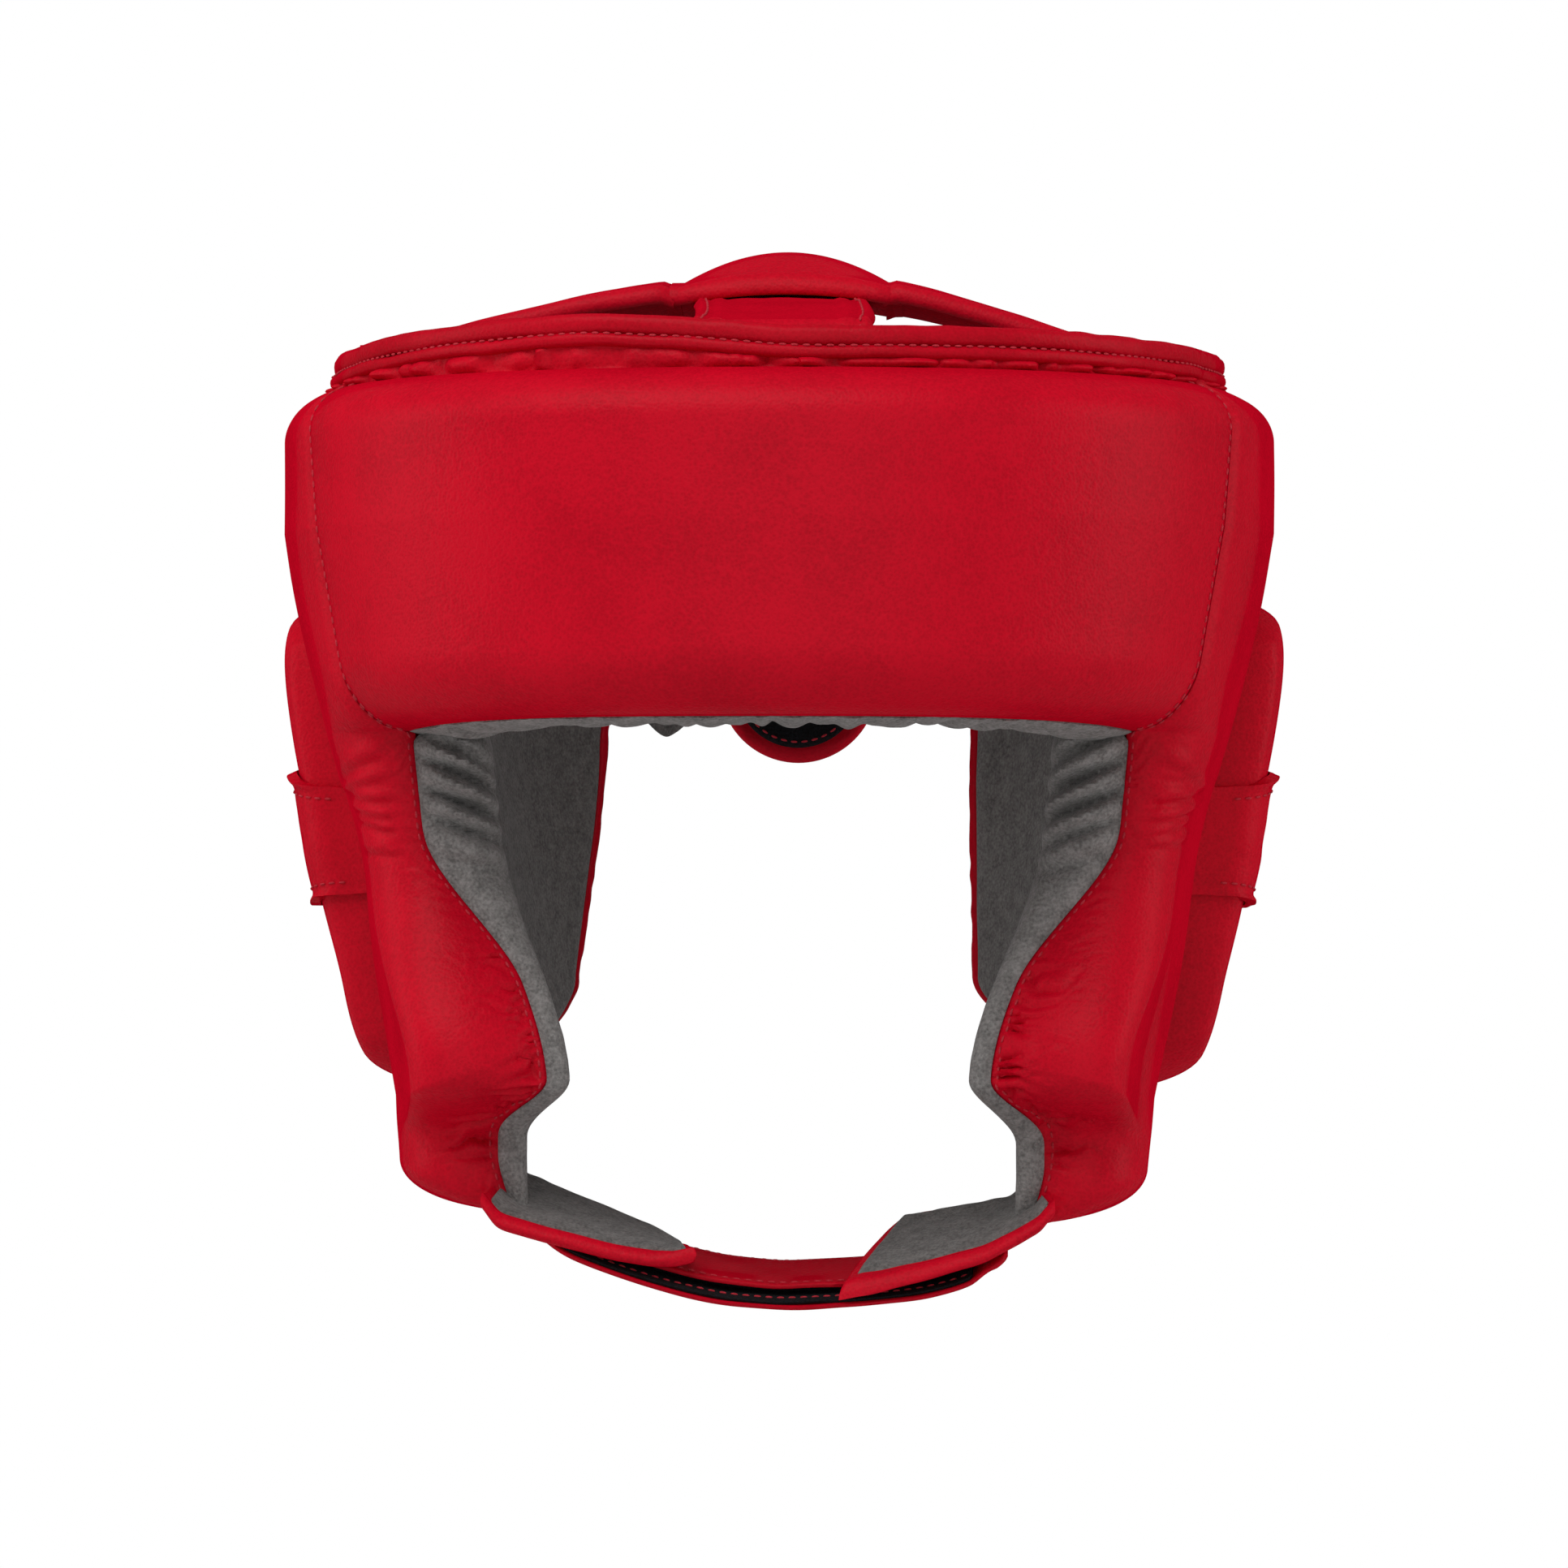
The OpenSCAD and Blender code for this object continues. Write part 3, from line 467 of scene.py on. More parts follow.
# Linings: brushed suede over the inside, turned out round the free edges, with puckers where it is sewn.
# Low and high turns are height past the edge and distance from the head; each fold is height, slope, depth, width
linings = dict(
    rows=200, columns=120, off=0.3, corner=5, below=0.9, bulge=0.3, pucker=1.2, puckerPitch=6, hang=1.7,
    hangPucker=1.1, hangPitch=6, tipLift=5, lowTurn=((0.3, 7), (-0.5, 5), (-0.9, 2.8), (-0.6, 1.2), (-0.1, 0.4)),
    highTurn=((-1.2, 0.6), (-0.5, 2), (0.1, 5), (0.2, 11)),
    folds=((7, 0.5, 3.6, 1.5), (1, 0.45, 5.4, 1.5), (-5.5, 0.4, 6.2, 1.5), (-12, 0.35, 4.2, 1.6), (-20, 0.2, 2, 2)))


def sideLiningGrid(seed):
    low, high, n = shell["cheekZ"], shell["topZ"], linings["columns"]
    (lowZ, lowOff), (highZ, highOff) = np.array(linings["lowTurn"]).T, np.array(linings["highTurn"]).T
    zs = np.concatenate([low + lowZ, mix(low + 1.2, high - 2, spacing(linings["rows"], 0.3)), high + highZ])
    lift = np.concatenate([lowOff, np.zeros(linings["rows"]), highOff])
    z = np.repeat(zs[:, None], n, 1)
    held = np.clip(z, low, high)
    f, r = sideFrontA(held), sideRearA(held)
    free = smooth((shell["browZ"] + 6 - z) / 12)
    # along the inside, round the corner and up the wall of the free edge
    wall = np.maximum((frontEdge(held) - linings["below"]) * free, 0.02)
    corner = np.minimum(linings["corner"], wall / 2)
    flat = (r - f) * mmPerDeg - corner
    arc = corner * math.pi / 2
    total = flat + arc + wall - corner
    p = spacing(n, 0)[None, :] ** 0.8 * total
    turn = np.clip((p - flat) / corner, 0, math.pi / 2)
    front = np.where(p < flat, p - flat, corner * np.sin(turn))
    off = linings["off"] + corner * (1 - np.cos(turn)) + np.clip(p - flat - arc, 0, None)
    up = clamp01((p - flat) / (total - flat))
    s = zs[:, None] / linings["puckerPitch"] + 60
    puckers = waves(s + 0.4 * waves(p / 9, seed), seed + 1) + 0.5 * waves(2.3 * s, seed + 2)
    strong = 0.3 + 0.7 * smooth((z + 36) / 20)
    swell = linings["bulge"] * wall + linings["pucker"] * strong * puckers * smooth(wall / 6)
    jitter = np.random.default_rng(seed)
    for fz, slope, depth, width in linings["folds"]:
        across = z - (fz + jitter.uniform(-1, 1) + slope * (off - 10))
        swell = swell - depth * (bump(across, 0, width) - 0.5 * bump(across, 2.2 * width, 1.6 * width))
    front = front + free * np.sin(math.pi * up) ** 0.8 * swell
    off = off + 0.35 * waves2(p / 14 + 30, z / 9 + 30, seed + 3) * (up <= 0) - 1.6 * free * bump(front, -1, 7)
    off = off + linings["tipLift"] * smooth((-68 - z) / 16) * smooth((front + 30) / 30) * (1 - up)
    return shellPoint(f + (corner - front) / mmPerDeg, z, np.maximum(off, lift[:, None]))


for side, word, seed in ((1, "left", 51), (-1, "right", 61)):
    p = sag(sideLiningGrid(seed), word)
    thick = np.full(p.shape[:2], pads["liningThick"])
    thick[:5], thick[:, :4] = pads["skived"], pads["skived"]
    o = sheet("side_suede_lining_" + word, p, thick, greySuede, ["side_lining_" + word], side)

# Forehead lining, with its puckered edge showing under the brow
a01 = np.linspace(1, -1, 321)[None, :]
brow = shell["browZ"] - shell["browDip"] * np.abs(a01) ** 3
wallT = np.concatenate([np.linspace(0, 1, 22), np.ones(90)])[:, None]
riseT = np.concatenate([np.zeros(22), spacing(90, 0.4)])[:, None]
s = a01 * 85
puckers = np.abs(waves(s / linings["hangPitch"] + 60, 71)) * 1.3 + 0.5 * waves(s / 2.7 + 60, 72)
hang = np.sin(math.pi * clamp01(0.04 + 0.96 * wallT)) ** 0.6 * (linings["hang"] + linings["hangPucker"] * puckers)
z = np.where(riseT > 0, mix(brow + 0.5, shell["topZ"] - 0.4, riseT), brow + 0.4 - hang)
inside = linings["off"] + 0.3 * waves2(s / 16 + 30, z / 12 + 30, 73)
off = np.where(riseT > 0, inside, mix(shell["padEdge"] - 0.6, linings["off"], wallT))
z = np.vstack([z, z[-1:] + 0.3, z[-1:] + 0.6])
p = shellPoint(a01 * seamA(z), z, np.vstack([off, off[-1:] + 4, off[-1:] + 11]))
o = sheet("forehead_suede_lining", p, pads["liningThick"], greySuede, ["forehead_lining"])
print("linings made")

# Rear panels: thinner wings behind the ears, bound in leather along their free edges.
# The two wings hang a little differently: the first value is the wearer's left
rear = dict(
    front=88 + 0.7 * gapA, edge=151.5, edgeShift=(0.3, -1.9), shiftZ=30, shiftRun=20, leanZ=15, lean=(2.6, 8.6),
    leanPower=1.6, corner=16, turnZ=-50, napeFront=104, frontThick=24, thick=14, thinRun=42, round=9, loose=20,
    looseZ=-55, looseRun=40, swell=0.3, edgeMid=4.2, liningRound=6, liningSwell=0.5, binding=1.9, bindingWave=0.25,
    bindingFlat=0.8, bindingHigh=20, bindingEnd=-20)


def rearBackA(z, side):
    k = 0 if side > 0 else 1
    down = clamp01((rear["leanZ"] - z) / (rear["leanZ"] - rear["turnZ"])) ** rear["leanPower"]
    shift = rear["edgeShift"][k] * smooth((rear["shiftZ"] - z) / rear["shiftRun"])
    lean = rear["edge"] + shift - rear["lean"][k] * down
    return mix(lean, rear["napeFront"], clamp01((rear["turnZ"] - z) / (rear["turnZ"] - shell["napeZ"])) ** 2)


def napeLow(a):
    return shell["napeZ"] + rear["corner"] * (1 - edgeRound((a - rear["front"]) * mmPerDeg, rear["corner"]))


def rearFull(a):
    return mix(rear["frontThick"], rear["thick"], smooth((a - rear["front"]) / rear["thinRun"]))


for side, word, seed in ((1, "left", 81), (-1, "right", 91)):
    v, u = rowsAndColumns(spacing(121, 1), spacing(81, 1))
    backA = rearBackA(mix(shell["napeZ"], shell["topZ"], v), side)
    a = mix(rear["front"], backA, u)
    z = mix(napeLow(a), shell["topZ"], v)
    toBack, toLow, toFront = (backA - a) * mmPerDeg, z - napeLow(a), (a - rear["front"]) * mmPerDeg
    # higher up the front edge stands against the side pad, so it isn't rounded
    toFront = toFront + rear["loose"] * smooth((z - rear["looseZ"]) / rear["looseRun"])
    edge = edgeRound(toBack, rear["round"]) * edgeRound(toLow, rear["round"]) * edgeRound(toFront, rear["round"])
    edge = edge * edgeRound(shell["topZ"] - z + rear["round"] / 2, rear["round"])
    off = rear["edgeMid"] + 0.3 + (rearFull(a) - rear["edgeMid"] - 0.3) * edge
    off = off + rear["swell"] * shellWaves(a, z, 22, 22, seed) * edge
    wall = [shellPoint(a[:, :1], z[:, :1], share * off[:, :1] + pads["inner"]) for share in pads["wall"]]
    p = np.concatenate(wall + [shellPoint(a, z, off)], 1)
    thick = np.full(p.shape[:2], pads["coverThick"])
    thick[:, :6] = pads["skived"]
    o = sheet("rear_panel_cover_" + word, p, thick, redLeather, ["rear_cover_" + word, "rear_foam_" + word], side)
    a, z, toBack, toLow, toFront = (x[:, ::-1] for x in (a, z, toBack, toLow, toFront))
    r = rear["liningRound"]
    edge = edgeRound(toBack, r) * edgeRound(toLow, r) * edgeRound(shell["topZ"] - z, r) * edgeRound(toFront, r)
    off = linings["off"] + (rear["edgeMid"] - 0.8) * (1 - edge)
    off = off + rear["liningSwell"] * shellWaves(a, z, 20, 11, seed + 1) * edge
    # the rear lining takes the suede painted darker, as painted shade inside the back
    o = sheet("rear_suede_lining_" + word, shellPoint(a, z, off), pads["liningThick"], suedePaintedShade,
              ["rear_lining_" + word], side)
    # binding: down the back edge, round the nape and forward
    zs = np.linspace(rear["bindingHigh"], shell["napeZ"] + 0.3, 90)
    under = mix(rear["front"], rear["napeFront"] - 1, np.linspace(1, 0, 24) ** 2)
    upFront = np.linspace(shell["napeZ"] + rear["corner"] + 1.5, rear["bindingEnd"], 12)
    aa = np.concatenate([rearBackA(zs, side) + 0.7, under, np.full(12, rear["front"])])
    zs = np.concatenate([zs, napeLow(under) - 0.4, upFront])
    aa[90:] -= 0.5 * smooth((95 - aa[90:]) / 5)
    mid = shellPoint(aa, zs, rear["edgeMid"])
    out = shellPoint(aa, zs, rear["edgeMid"] + 1) - mid
    run = np.gradient(mid, axis=0)
    away = np.cross(out, run / np.linalg.norm(run, axis=1, keepdims=True))
    k = np.linspace(0, 2 * math.pi, 14, endpoint=False)[None, :, None]
    r = rear["binding"] + rear["bindingWave"] * waves(np.arange(len(zs)) / 3.0 + 20, seed + 2)[:, None, None]
    rings = mid[:, None] + r * (np.cos(k) * out[:, None] + rear["bindingFlat"] * np.sin(k) * away[:, None])
    tube("rear_binding_" + word, rings, edgeLeather, ["rear_piping_" + word], side=side)
print("rear panels made")

# Ear pads: pillows on the rear panels, each held down by a band with rolled hems.
# The two pads differ a little in height: the first value is the wearer's left
ear = dict(
    a=109, halfA=17.5, halfWide=38, z=-14.5, halfH=62.5, corner=0.75, sit=0.6, high=(23.8, 25), edge=11, crown=3.2,
    endCrown=9, crownPower=1 / 2.2, lowThin=0.14, edgeRound=7, swell=0.35, swellRound=12, bandHigh=34, bandThick=1.8,
    bandSink=0.6, bandDraw=1.2, bandFoot=2.5, hemRoll=1.5, hemWide=1.7, hemThick=0.9)


def earPoint(u, v):
    x, y = 2 * u - 1, 2 * v - 1
    return (ear["a"] + ear["halfA"] * x * np.sqrt(1 - ear["corner"] * np.minimum(y * y, 1) / 2),
            ear["z"] + ear["halfH"] * y * np.sqrt(1 - ear["corner"] * np.minimum(x * x, 1.1) / 2))


def earDome(t, power):
    return np.clip(1 - np.abs(2 * t - 1) ** power, 0, 1) ** ear["crownPower"]


def earTop(u, v, side):
    high = (ear["high"][side < 0] - ear["edge"]) * earDome(u, ear["crown"]) * earDome(v, ear["endCrown"])
    return (ear["edge"] + high) * (1 - ear["lowThin"] * smooth((0.48 - v) / 0.3))


for side, word, seed in ((1, "left", 101), (-1, "right", 111)):
    v, u = rowsAndColumns(spacing(101, 1), spacing(81, 1))
    a, z = earPoint(u, v)
    inside = np.minimum((1 - np.abs(2 * u - 1)) * ear["halfWide"], (1 - np.abs(2 * v - 1)) * ear["halfH"])
    off = rearFull(a) + ear["sit"] + earTop(u, v, side) * edgeRound(inside, ear["edgeRound"])
    off = off + ear["swell"] * shellWaves(a, z, 18, 22, seed) * edgeRound(inside, ear["swellRound"])
    band = bump(z, ear["z"], ear["bandHigh"] / 2)  # the band draws the pad in a little
    off = off - ear["bandDraw"] * band * edgeRound(inside, ear["swellRound"])
    o = sheet("ear_pad_cover_leather_" + word, shellPoint(a, z, off), pads["coverThick"], redLeather,
              ["ear_pad_cover_" + word, "ear_pad_foam_" + word], side)
    # band, turned down at both ends, with a hem rolled over at its top and bottom
    across = np.concatenate([[-0.05, -0.045, -0.03], spacing(71, 0.9), [1.03, 1.05, 1.055]])
    v, u = rowsAndColumns(np.linspace(-1, 1, 61), across)
    vv = 0.5 + ear["bandHigh"] / 2 / (2 * ear["halfH"]) * v
    a, z = earPoint(u, vv)
    ends = clamp01(np.maximum(-u, u - 1) / 0.05)
    hem = np.exp(-((1 - np.abs(v)) * ear["bandHigh"] / 2 / ear["hemWide"]) ** 2)
    lie = rearFull(a) + ear["sit"] + earTop(clamp01(u), vv, side) - ear["bandSink"]
    off = mix(lie, rearFull(a) + ear["bandFoot"], ends) + ear["bandThick"] + ear["hemRoll"] * hem
    off = off + 0.25 * shellWaves(a, z, 6, 5, seed + 1)
    z = z + 0.5 * np.sign(v) * hem * waves(a * mmPerDeg / 5 + 40, seed + 2)
    p = shellPoint(a, z, off)
    for row in (7, -8):
        addStitches("shell", liftedLine(p, row, slice(4, -4)), side)
    thick = ear["bandThick"] + ear["hemThick"] * hem
    sheet("ear_band_leather_" + word, p, thick, redLeather, ["ear_band_" + word], side)
print("ear pads made")

# Elastic back panel: shirred cloth outside, suede inside. Lumps along its lower edge are place, drop and width
back = dict(
    lowZ=18, tuckA=2.5, edge=2.8, thick=5.2, innerEdge=2.6, innerThin=2.2, innerHigh=3.5, cloth=1.1, shirr=0.7,
    innerShirr=1.1, shirrPitch=2.6, outerDrop=0.35, lumps=((-33, 6.5, 5), (43, 3, 6), (20, 1.5, 5)))
for name, inner in (("back_elastic_panel", False), ("back_suede_lining", True)):
    v, u = rowsAndColumns(spacing(61, 0.5), np.linspace(1, 0, 221) if inner else np.linspace(0, 1, 221))
    a = mix(rear["edge"] - back["tuckA"], 360 + back["tuckA"] - rear["edge"], u)
    x = shellPoint(a, 0, 0)[..., 0]
    drop = sum(d * bump(x, c, w) for c, d, w in back["lumps"]) + 0.8 * waves(x / 4 + 60, 121)
    highZ = shell["topZ"] + (back["innerHigh"] if inner else 0)
    z = mix(back["lowZ"] - (drop if inner else back["outerDrop"] * drop), highZ, v)
    folds = waves(x / back["shirrPitch"] + 60, 122) + 0.4 * waves(x / 1.2 + 60, 123)
    edge = edgeRound(np.minimum(z - z[:1], highZ - z) + 0.2, 3)
    if inner:
        off = back["innerEdge"] - back["innerThin"] * edge + back["innerShirr"] * back["shirr"] * folds * edge
    else:
        off = back["edge"] + (back["thick"] - back["edge"]) * edge + back["shirr"] * folds * edge
    # the inner face takes the suede painted darker, as painted shade
    material, nodes = (suedePaintedShade, []) if inner else (elasticCloth, ["back_panel"])
    o = sheet(name, shellPoint(a, z, off), back["cloth"], material, nodes)
print("back panel made")

# Rim: a bound edge in two rolls round the crown opening, over a gathered strip.
# The wave is azimuth and rise, as the binding dips and lifts
rim = dict(
    steps=540, length=756, lowZ=99.75, lowHalf=1.6, lowThick=2.3, lowOut=0.5, upZ=103.4, upHalf=2.4, upThick=2.4,
    wave=((-180, 0), (-110, 0), (-78, -3.2), (-60, -3.2), (-42, -1.5), (-17, 1.2), (3, -2.6), (20, -2.3), (35, -2.4),
          (55, -3.2), (75, -3.2), (110, 0), (180, 0)),
    gatherLow=93.7, gatherHigh=98.3, gatherOut=1.2, gatherDeep=8, pleat=2.1, pleatPitch=5.2)
ringA = np.linspace(-180, 180, rim["steps"], endpoint=False)
rimLift = np.interp(ringA, *zip(*rim["wave"]))
kernel = np.hanning(41) / np.hanning(41).sum()
rimLift = np.convolve(np.concatenate([rimLift[-20:], rimLift, rimLift[:20]]), kernel, "valid")


def ringWaves(pitch, seed):  # fades out at the back, where it closes on itself
    i = np.arange(rim["steps"])
    fade = np.minimum(1, np.minimum(i, rim["steps"] - i) / 6)
    return waves(i / rim["steps"] * round(rim["length"] / pitch), seed) * fade


def roll(name, node, which, out, seed):
    z, half, thick = (rim[which + word] for word in ("Z", "Half", "Thick"))
    k = np.linspace(0, 2 * math.pi, 18, endpoint=False)
    c, s = (np.sign(f(k)) * np.abs(f(k)) ** 0.8 for f in (np.cos, np.sin))
    o = rimOff(ringA) + out + 0.35 * ringWaves(14, seed) + 0.12 * ringWaves(3, seed + 1)
    zz = z + rimLift + 0.2 * ringWaves(11, seed + 2)
    h = half * (1 + 0.06 * ringWaves(5, seed + 3))
    rings = shellPoint(ringA[:, None], zz[:, None] + h[:, None] * s[None], o[:, None] + thick * c[None])
    tube(name, rings, edgeLeather, [node], closed=True)
    return o, zz


lowOff, lowMid = roll("rim_lower_binding", "rim_lower_roll", "low", rim["lowOut"], 131)
upMid = roll("rim_upper_binding", "rim_upper_roll", "up", 0, 141)[1]
pleats = (np.abs(ringWaves(rim["pleatPitch"], 151)) * 1.8 - 0.9 + 0.5 * ringWaves(2.4, 152))[:, None]
high = rim["gatherHigh"] + rimLift[:, None] + 0.4
low = rim["gatherLow"] + 0 * high
outer = (rimOff(ringA) + rim["gatherOut"])[:, None]
near = np.minimum(rim["gatherDeep"], rimOff(ringA) / 2)[:, None]
t = np.linspace(0, 1, 13)[None, :]
swell = np.sin(math.pi * t)
face = outer + rim["pleat"] * pleats * swell ** 0.7 + 1.2 * swell
lean = 0.9 * ringWaves(5, 153)[:, None] * swell
inZ = np.hstack([high, high, high - 1, low + 1, low])
inOff = np.hstack([mix(outer, near, 0.5), near + 0.6, near, near, near + 0.6])
outside = shellPoint(ringA[:, None] + lean, mix(low, high, t), face)
rings = np.concatenate([outside, shellPoint(ringA[:, None], inZ, inOff)], 1)
tube("rim_gathered_strip", rings, redLeather, ["top_gather"], closed=True)
print("rim made")

# Crown band: arched flaps from both sides and a domed guide loop between, hemmed front and back.
# The two flaps lie at different heights at their outer ends
crown = dict(
    half=1.7, halfWide=22, hem=0.7, hemWidth=2.6, arch=3.4, endX=101, endZ=102.3, topZ=122.1, archPower=1.2,
    flapUp=1.8, flapLift=dict(left=-5, right=1.5), guideRise=7.6, guideHalf=27, guideMid=1.5, guideDrop=1)


def crownZ(x):
    share = np.clip(np.cos(math.pi / 2 * np.minimum(1, np.abs(x) / crown["endX"])), 0, 1)
    return mix(crown["endZ"], crown["topZ"], share ** crown["archPower"])


def bandRings(xs, midZ, widths):
    t, up = roundTrip(37, -1)
    y01 = 2 * t - 1
    w = widths[:, None]
    inside = w * (1 - np.abs(y01))
    half = (crown["half"] + crown["hem"] * np.exp(-((inside - 1.6) / crown["hemWidth"]) ** 2)) * edgeRound(inside, 2)
    x = np.repeat(xs[:, None], len(y01), 1)
    return np.stack([x, w * y01, midZ(x, y01[None, :]) + up * half], -1)


baseZ = crownZ(crown["guideHalf"]) + crown["flapUp"]
for side, word, seed in ((1, "left", 161), (-1, "right", 171)):
    def flapZ(x, y):
        share = clamp01((x - crown["guideHalf"]) / 75)
        tuck = 1.6 * smooth((29 - x) / 4)
        z = crownZ(x) + crown["flapUp"] + crown["flapLift"][word] * share - crown["arch"] * y ** 2 * (1 - 0.5 * share)
        return z - tuck + 0.25 * waves2(x / 12 + 9, 3 * y + 9, seed)

    xs = np.concatenate([[25.4, 26], np.linspace(crown["guideHalf"], crown["endX"] + 1, 50)])
    rings = bandRings(xs, flapZ, crown["halfWide"] - 1.2 * smooth((30 - xs) / 5))
    tube("crown_flap_leather_" + word, rings, redLeather, ["crown_flap_" + word], side=side)


def guideZ(x, y):
    swell = np.clip(1 - ((x - crown["guideMid"]) / 25) ** 2, 0, 1)
    z = baseZ - crown["guideDrop"] - crown["arch"] * y ** 2
    return z + crown["guideRise"] * swell * (1 - 0.75 * y ** 2) + 0.3


xs = np.linspace(-26.5, 29.5, 57)
rings = bandRings(xs, guideZ, crown["halfWide"] + 0.4 - 1.5 * smooth((np.abs(xs - crown["guideMid"]) - 22) / 6))
tube("crown_guide_leather", rings, redLeather, ["crown_guide"])

# Crown strap: over the crown from rim to rim and down the back, with piped edges
crownStrap = dict(
    half=21, skew=4.5, thick=3, piping=0.9, pipingAt=((1.8, 1), (6, 0.8)), pipingWide=1.2, dome=1.1,
    frontIn=6, frontZ=103, frontLow=95, backZ=106.4, tailY=109.4, foldZ=76)
frontY, backY = crownStrap["frontIn"] - (100 + rimOff(0)), 100 + rimOff(180)
edgeZ = baseZ - 1.6 - crown["arch"] + 1 - crownStrap["thick"]
ys = np.linspace(frontY, backY, 70)
atFront = ys < 0
share = np.cos(math.pi / 2 * np.minimum(1, np.where(atFront, ys / frontY, ys / backY))) ** np.where(atFront, 1.2, 2)
bend = crownStrap["tailY"] - backY
turn = np.linspace(0, math.pi / 2, 14)[1:]
downZ = crownStrap["backZ"] - bend
py = np.concatenate([np.full(6, frontY - 0.6), ys, backY + bend * np.sin(turn), np.full(12, crownStrap["tailY"])])
over = mix(np.where(atFront, crownStrap["frontZ"], crownStrap["backZ"]), edgeZ, share)
pz = np.concatenate([np.linspace(crownStrap["frontLow"], crownStrap["frontZ"] - 1.2, 6), over,
                     downZ + bend * np.cos(turn), np.linspace(downZ, crownStrap["foldZ"] + 1.9, 13)[1:]])
ny, nz = -np.gradient(pz), np.gradient(py)
ny, nz = ny / np.hypot(ny, nz), nz / np.hypot(ny, nz)
t, top = roundTrip(33, 0)
x01 = 1 - 2 * t
inside = crownStrap["half"] * (1 - np.abs(x01))
piping = sum(share * np.exp(-((inside - at) / crownStrap["pipingWide"]) ** 2) for at, share in crownStrap["pipingAt"])
high = top * (crownStrap["thick"] - 0.9 + crownStrap["piping"] * piping) * edgeRound(inside + 0.25, 1.8)
high = high + (1 - top) * 1.1 * (1 - edgeRound(inside, 1.6))
rings = np.stack([np.repeat(crownStrap["half"] * x01[None], len(py), 0), py[:, None] + ny[:, None] * high[None],
                  pz[:, None] + nz[:, None] * high[None]], -1)
rings[..., 2] += crownStrap["dome"] * (1 - x01[None] ** 2) * top[None] * np.exp(-(py[:, None] / 60) ** 4)
rings[..., 2] += 0.35 * waves2(rings[..., 1] / 9 + 30, rings[..., 0] / 9 + 30, 181) * top[None]
rings[..., 0] += crownStrap["skew"] * smooth(-py / 100)[:, None]
for col in (5, 27):
    addStitches("shell", rings[4:, col] + np.stack([0 * ny, ny, nz], -1)[4:] * 0.12)
tube("crown_strap_leather", rings, redLeather, ["crown_strap"])
print("crown made")

# Tail of the crown strap: round end, bound edge, hook patch inside, on a loop patch of the back panel
tail = dict(
    low=5, over=3.4, thick=3, roll=0.5, patchHalf=17, patchIn=4, patchDown=6, patchThick=1.3, seams=(4.2, 5.6),
    loopA=(170.35, 189.65), loopZ=(20, 70), loopOff=7.5, loopThick=1.5)


# Outline x and z, anticlockwise seen from the back
def tongueOutline(inset, half, low, high):
    r, mid, end = half - inset, low + half, high - inset
    k = np.linspace(0, math.pi, 49)
    right = np.stack([np.full(24, r), np.linspace(end, mid, 25)[:-1]], -1)
    tip = np.stack([r * np.cos(k), mid - r * np.sin(k)], -1)
    left = np.stack([np.full(24, -r), np.linspace(mid, end, 25)[1:]], -1)
    closing = np.stack([np.linspace(-r, r, 22)[1:-1], np.full(20, end)], -1)
    return np.concatenate([right, tip, left, closing])


def atY(outline, y):
    return np.column_stack([outline[:, 0], np.full(len(outline), y), outline[:, 1]])


def tongue(name, half, low, high, y0, thick, rollHigh, material, nodes):
    insets = [[half - 0.4, half - 4], np.linspace(half - 8, 5, 6), [4, 3.2, 2.4, 1.6, 0.9, 0.4, 0.1, 0]]
    insets = np.concatenate(insets)
    lift = rollHigh * np.exp(-((insets - 1.8) / 1.4) ** 2) - rollHigh
    rise = (thick / 2 + lift) * edgeRound(insets + 0.02, 1.5)
    mid = y0 + thick / 2
    outlines = [tongueOutline(inset, half, low, high) for inset in insets]
    rings = [atY(q, mid + d) for q, d in zip(outlines, rise)]
    rings += [atY(q, mid - d - 0.02) for q, d in zip(outlines[::-1], rise[::-1])]
    tube(name, np.array(rings), material, nodes, "crown_tail")


tailY, foldZ = crownStrap["tailY"], crownStrap["foldZ"]
patchY = tailY - tail["patchThick"]
for inset, y, below in zip(tail["seams"], (tailY + tail["thick"] - 0.45, patchY - 0.25), (0, 4)):
    addStitches("crown_tail", atY(tongueOutline(inset, crownStrap["half"], tail["low"], foldZ - below), y))
tongue("crown_tail_leather", crownStrap["half"], tail["low"], foldZ + tail["over"], tailY, tail["thick"], tail["roll"],
       redLeather, ["crown_tail"])
tongue("crown_tail_hook_tape", tail["patchHalf"], tail["low"] + tail["patchIn"], foldZ - tail["patchDown"], patchY,
       tail["patchThick"] + 0.3, 0.1, hookTape, ["crown_hook_patch"])
v, u = rowsAndColumns(np.linspace(0, 1, 21), np.linspace(0, 1, 31))
off = tail["loopOff"] + 0.08 * waves2(50 * u + 5, 60 * v + 5, 191)
p = shellPoint(mix(*tail["loopA"], u), mix(*tail["loopZ"], v), off)
border = np.concatenate([p[2, 2:-2], p[2:-2, -3], p[-3, -3:1:-1], p[-3:1:-1, 2]])
addStitches("shell", border + [0, 0.15, 0])
sheet("back_loop_tape", p, tail["loopThick"], hookTape, ["back_loop_patch"])
print("tail made")

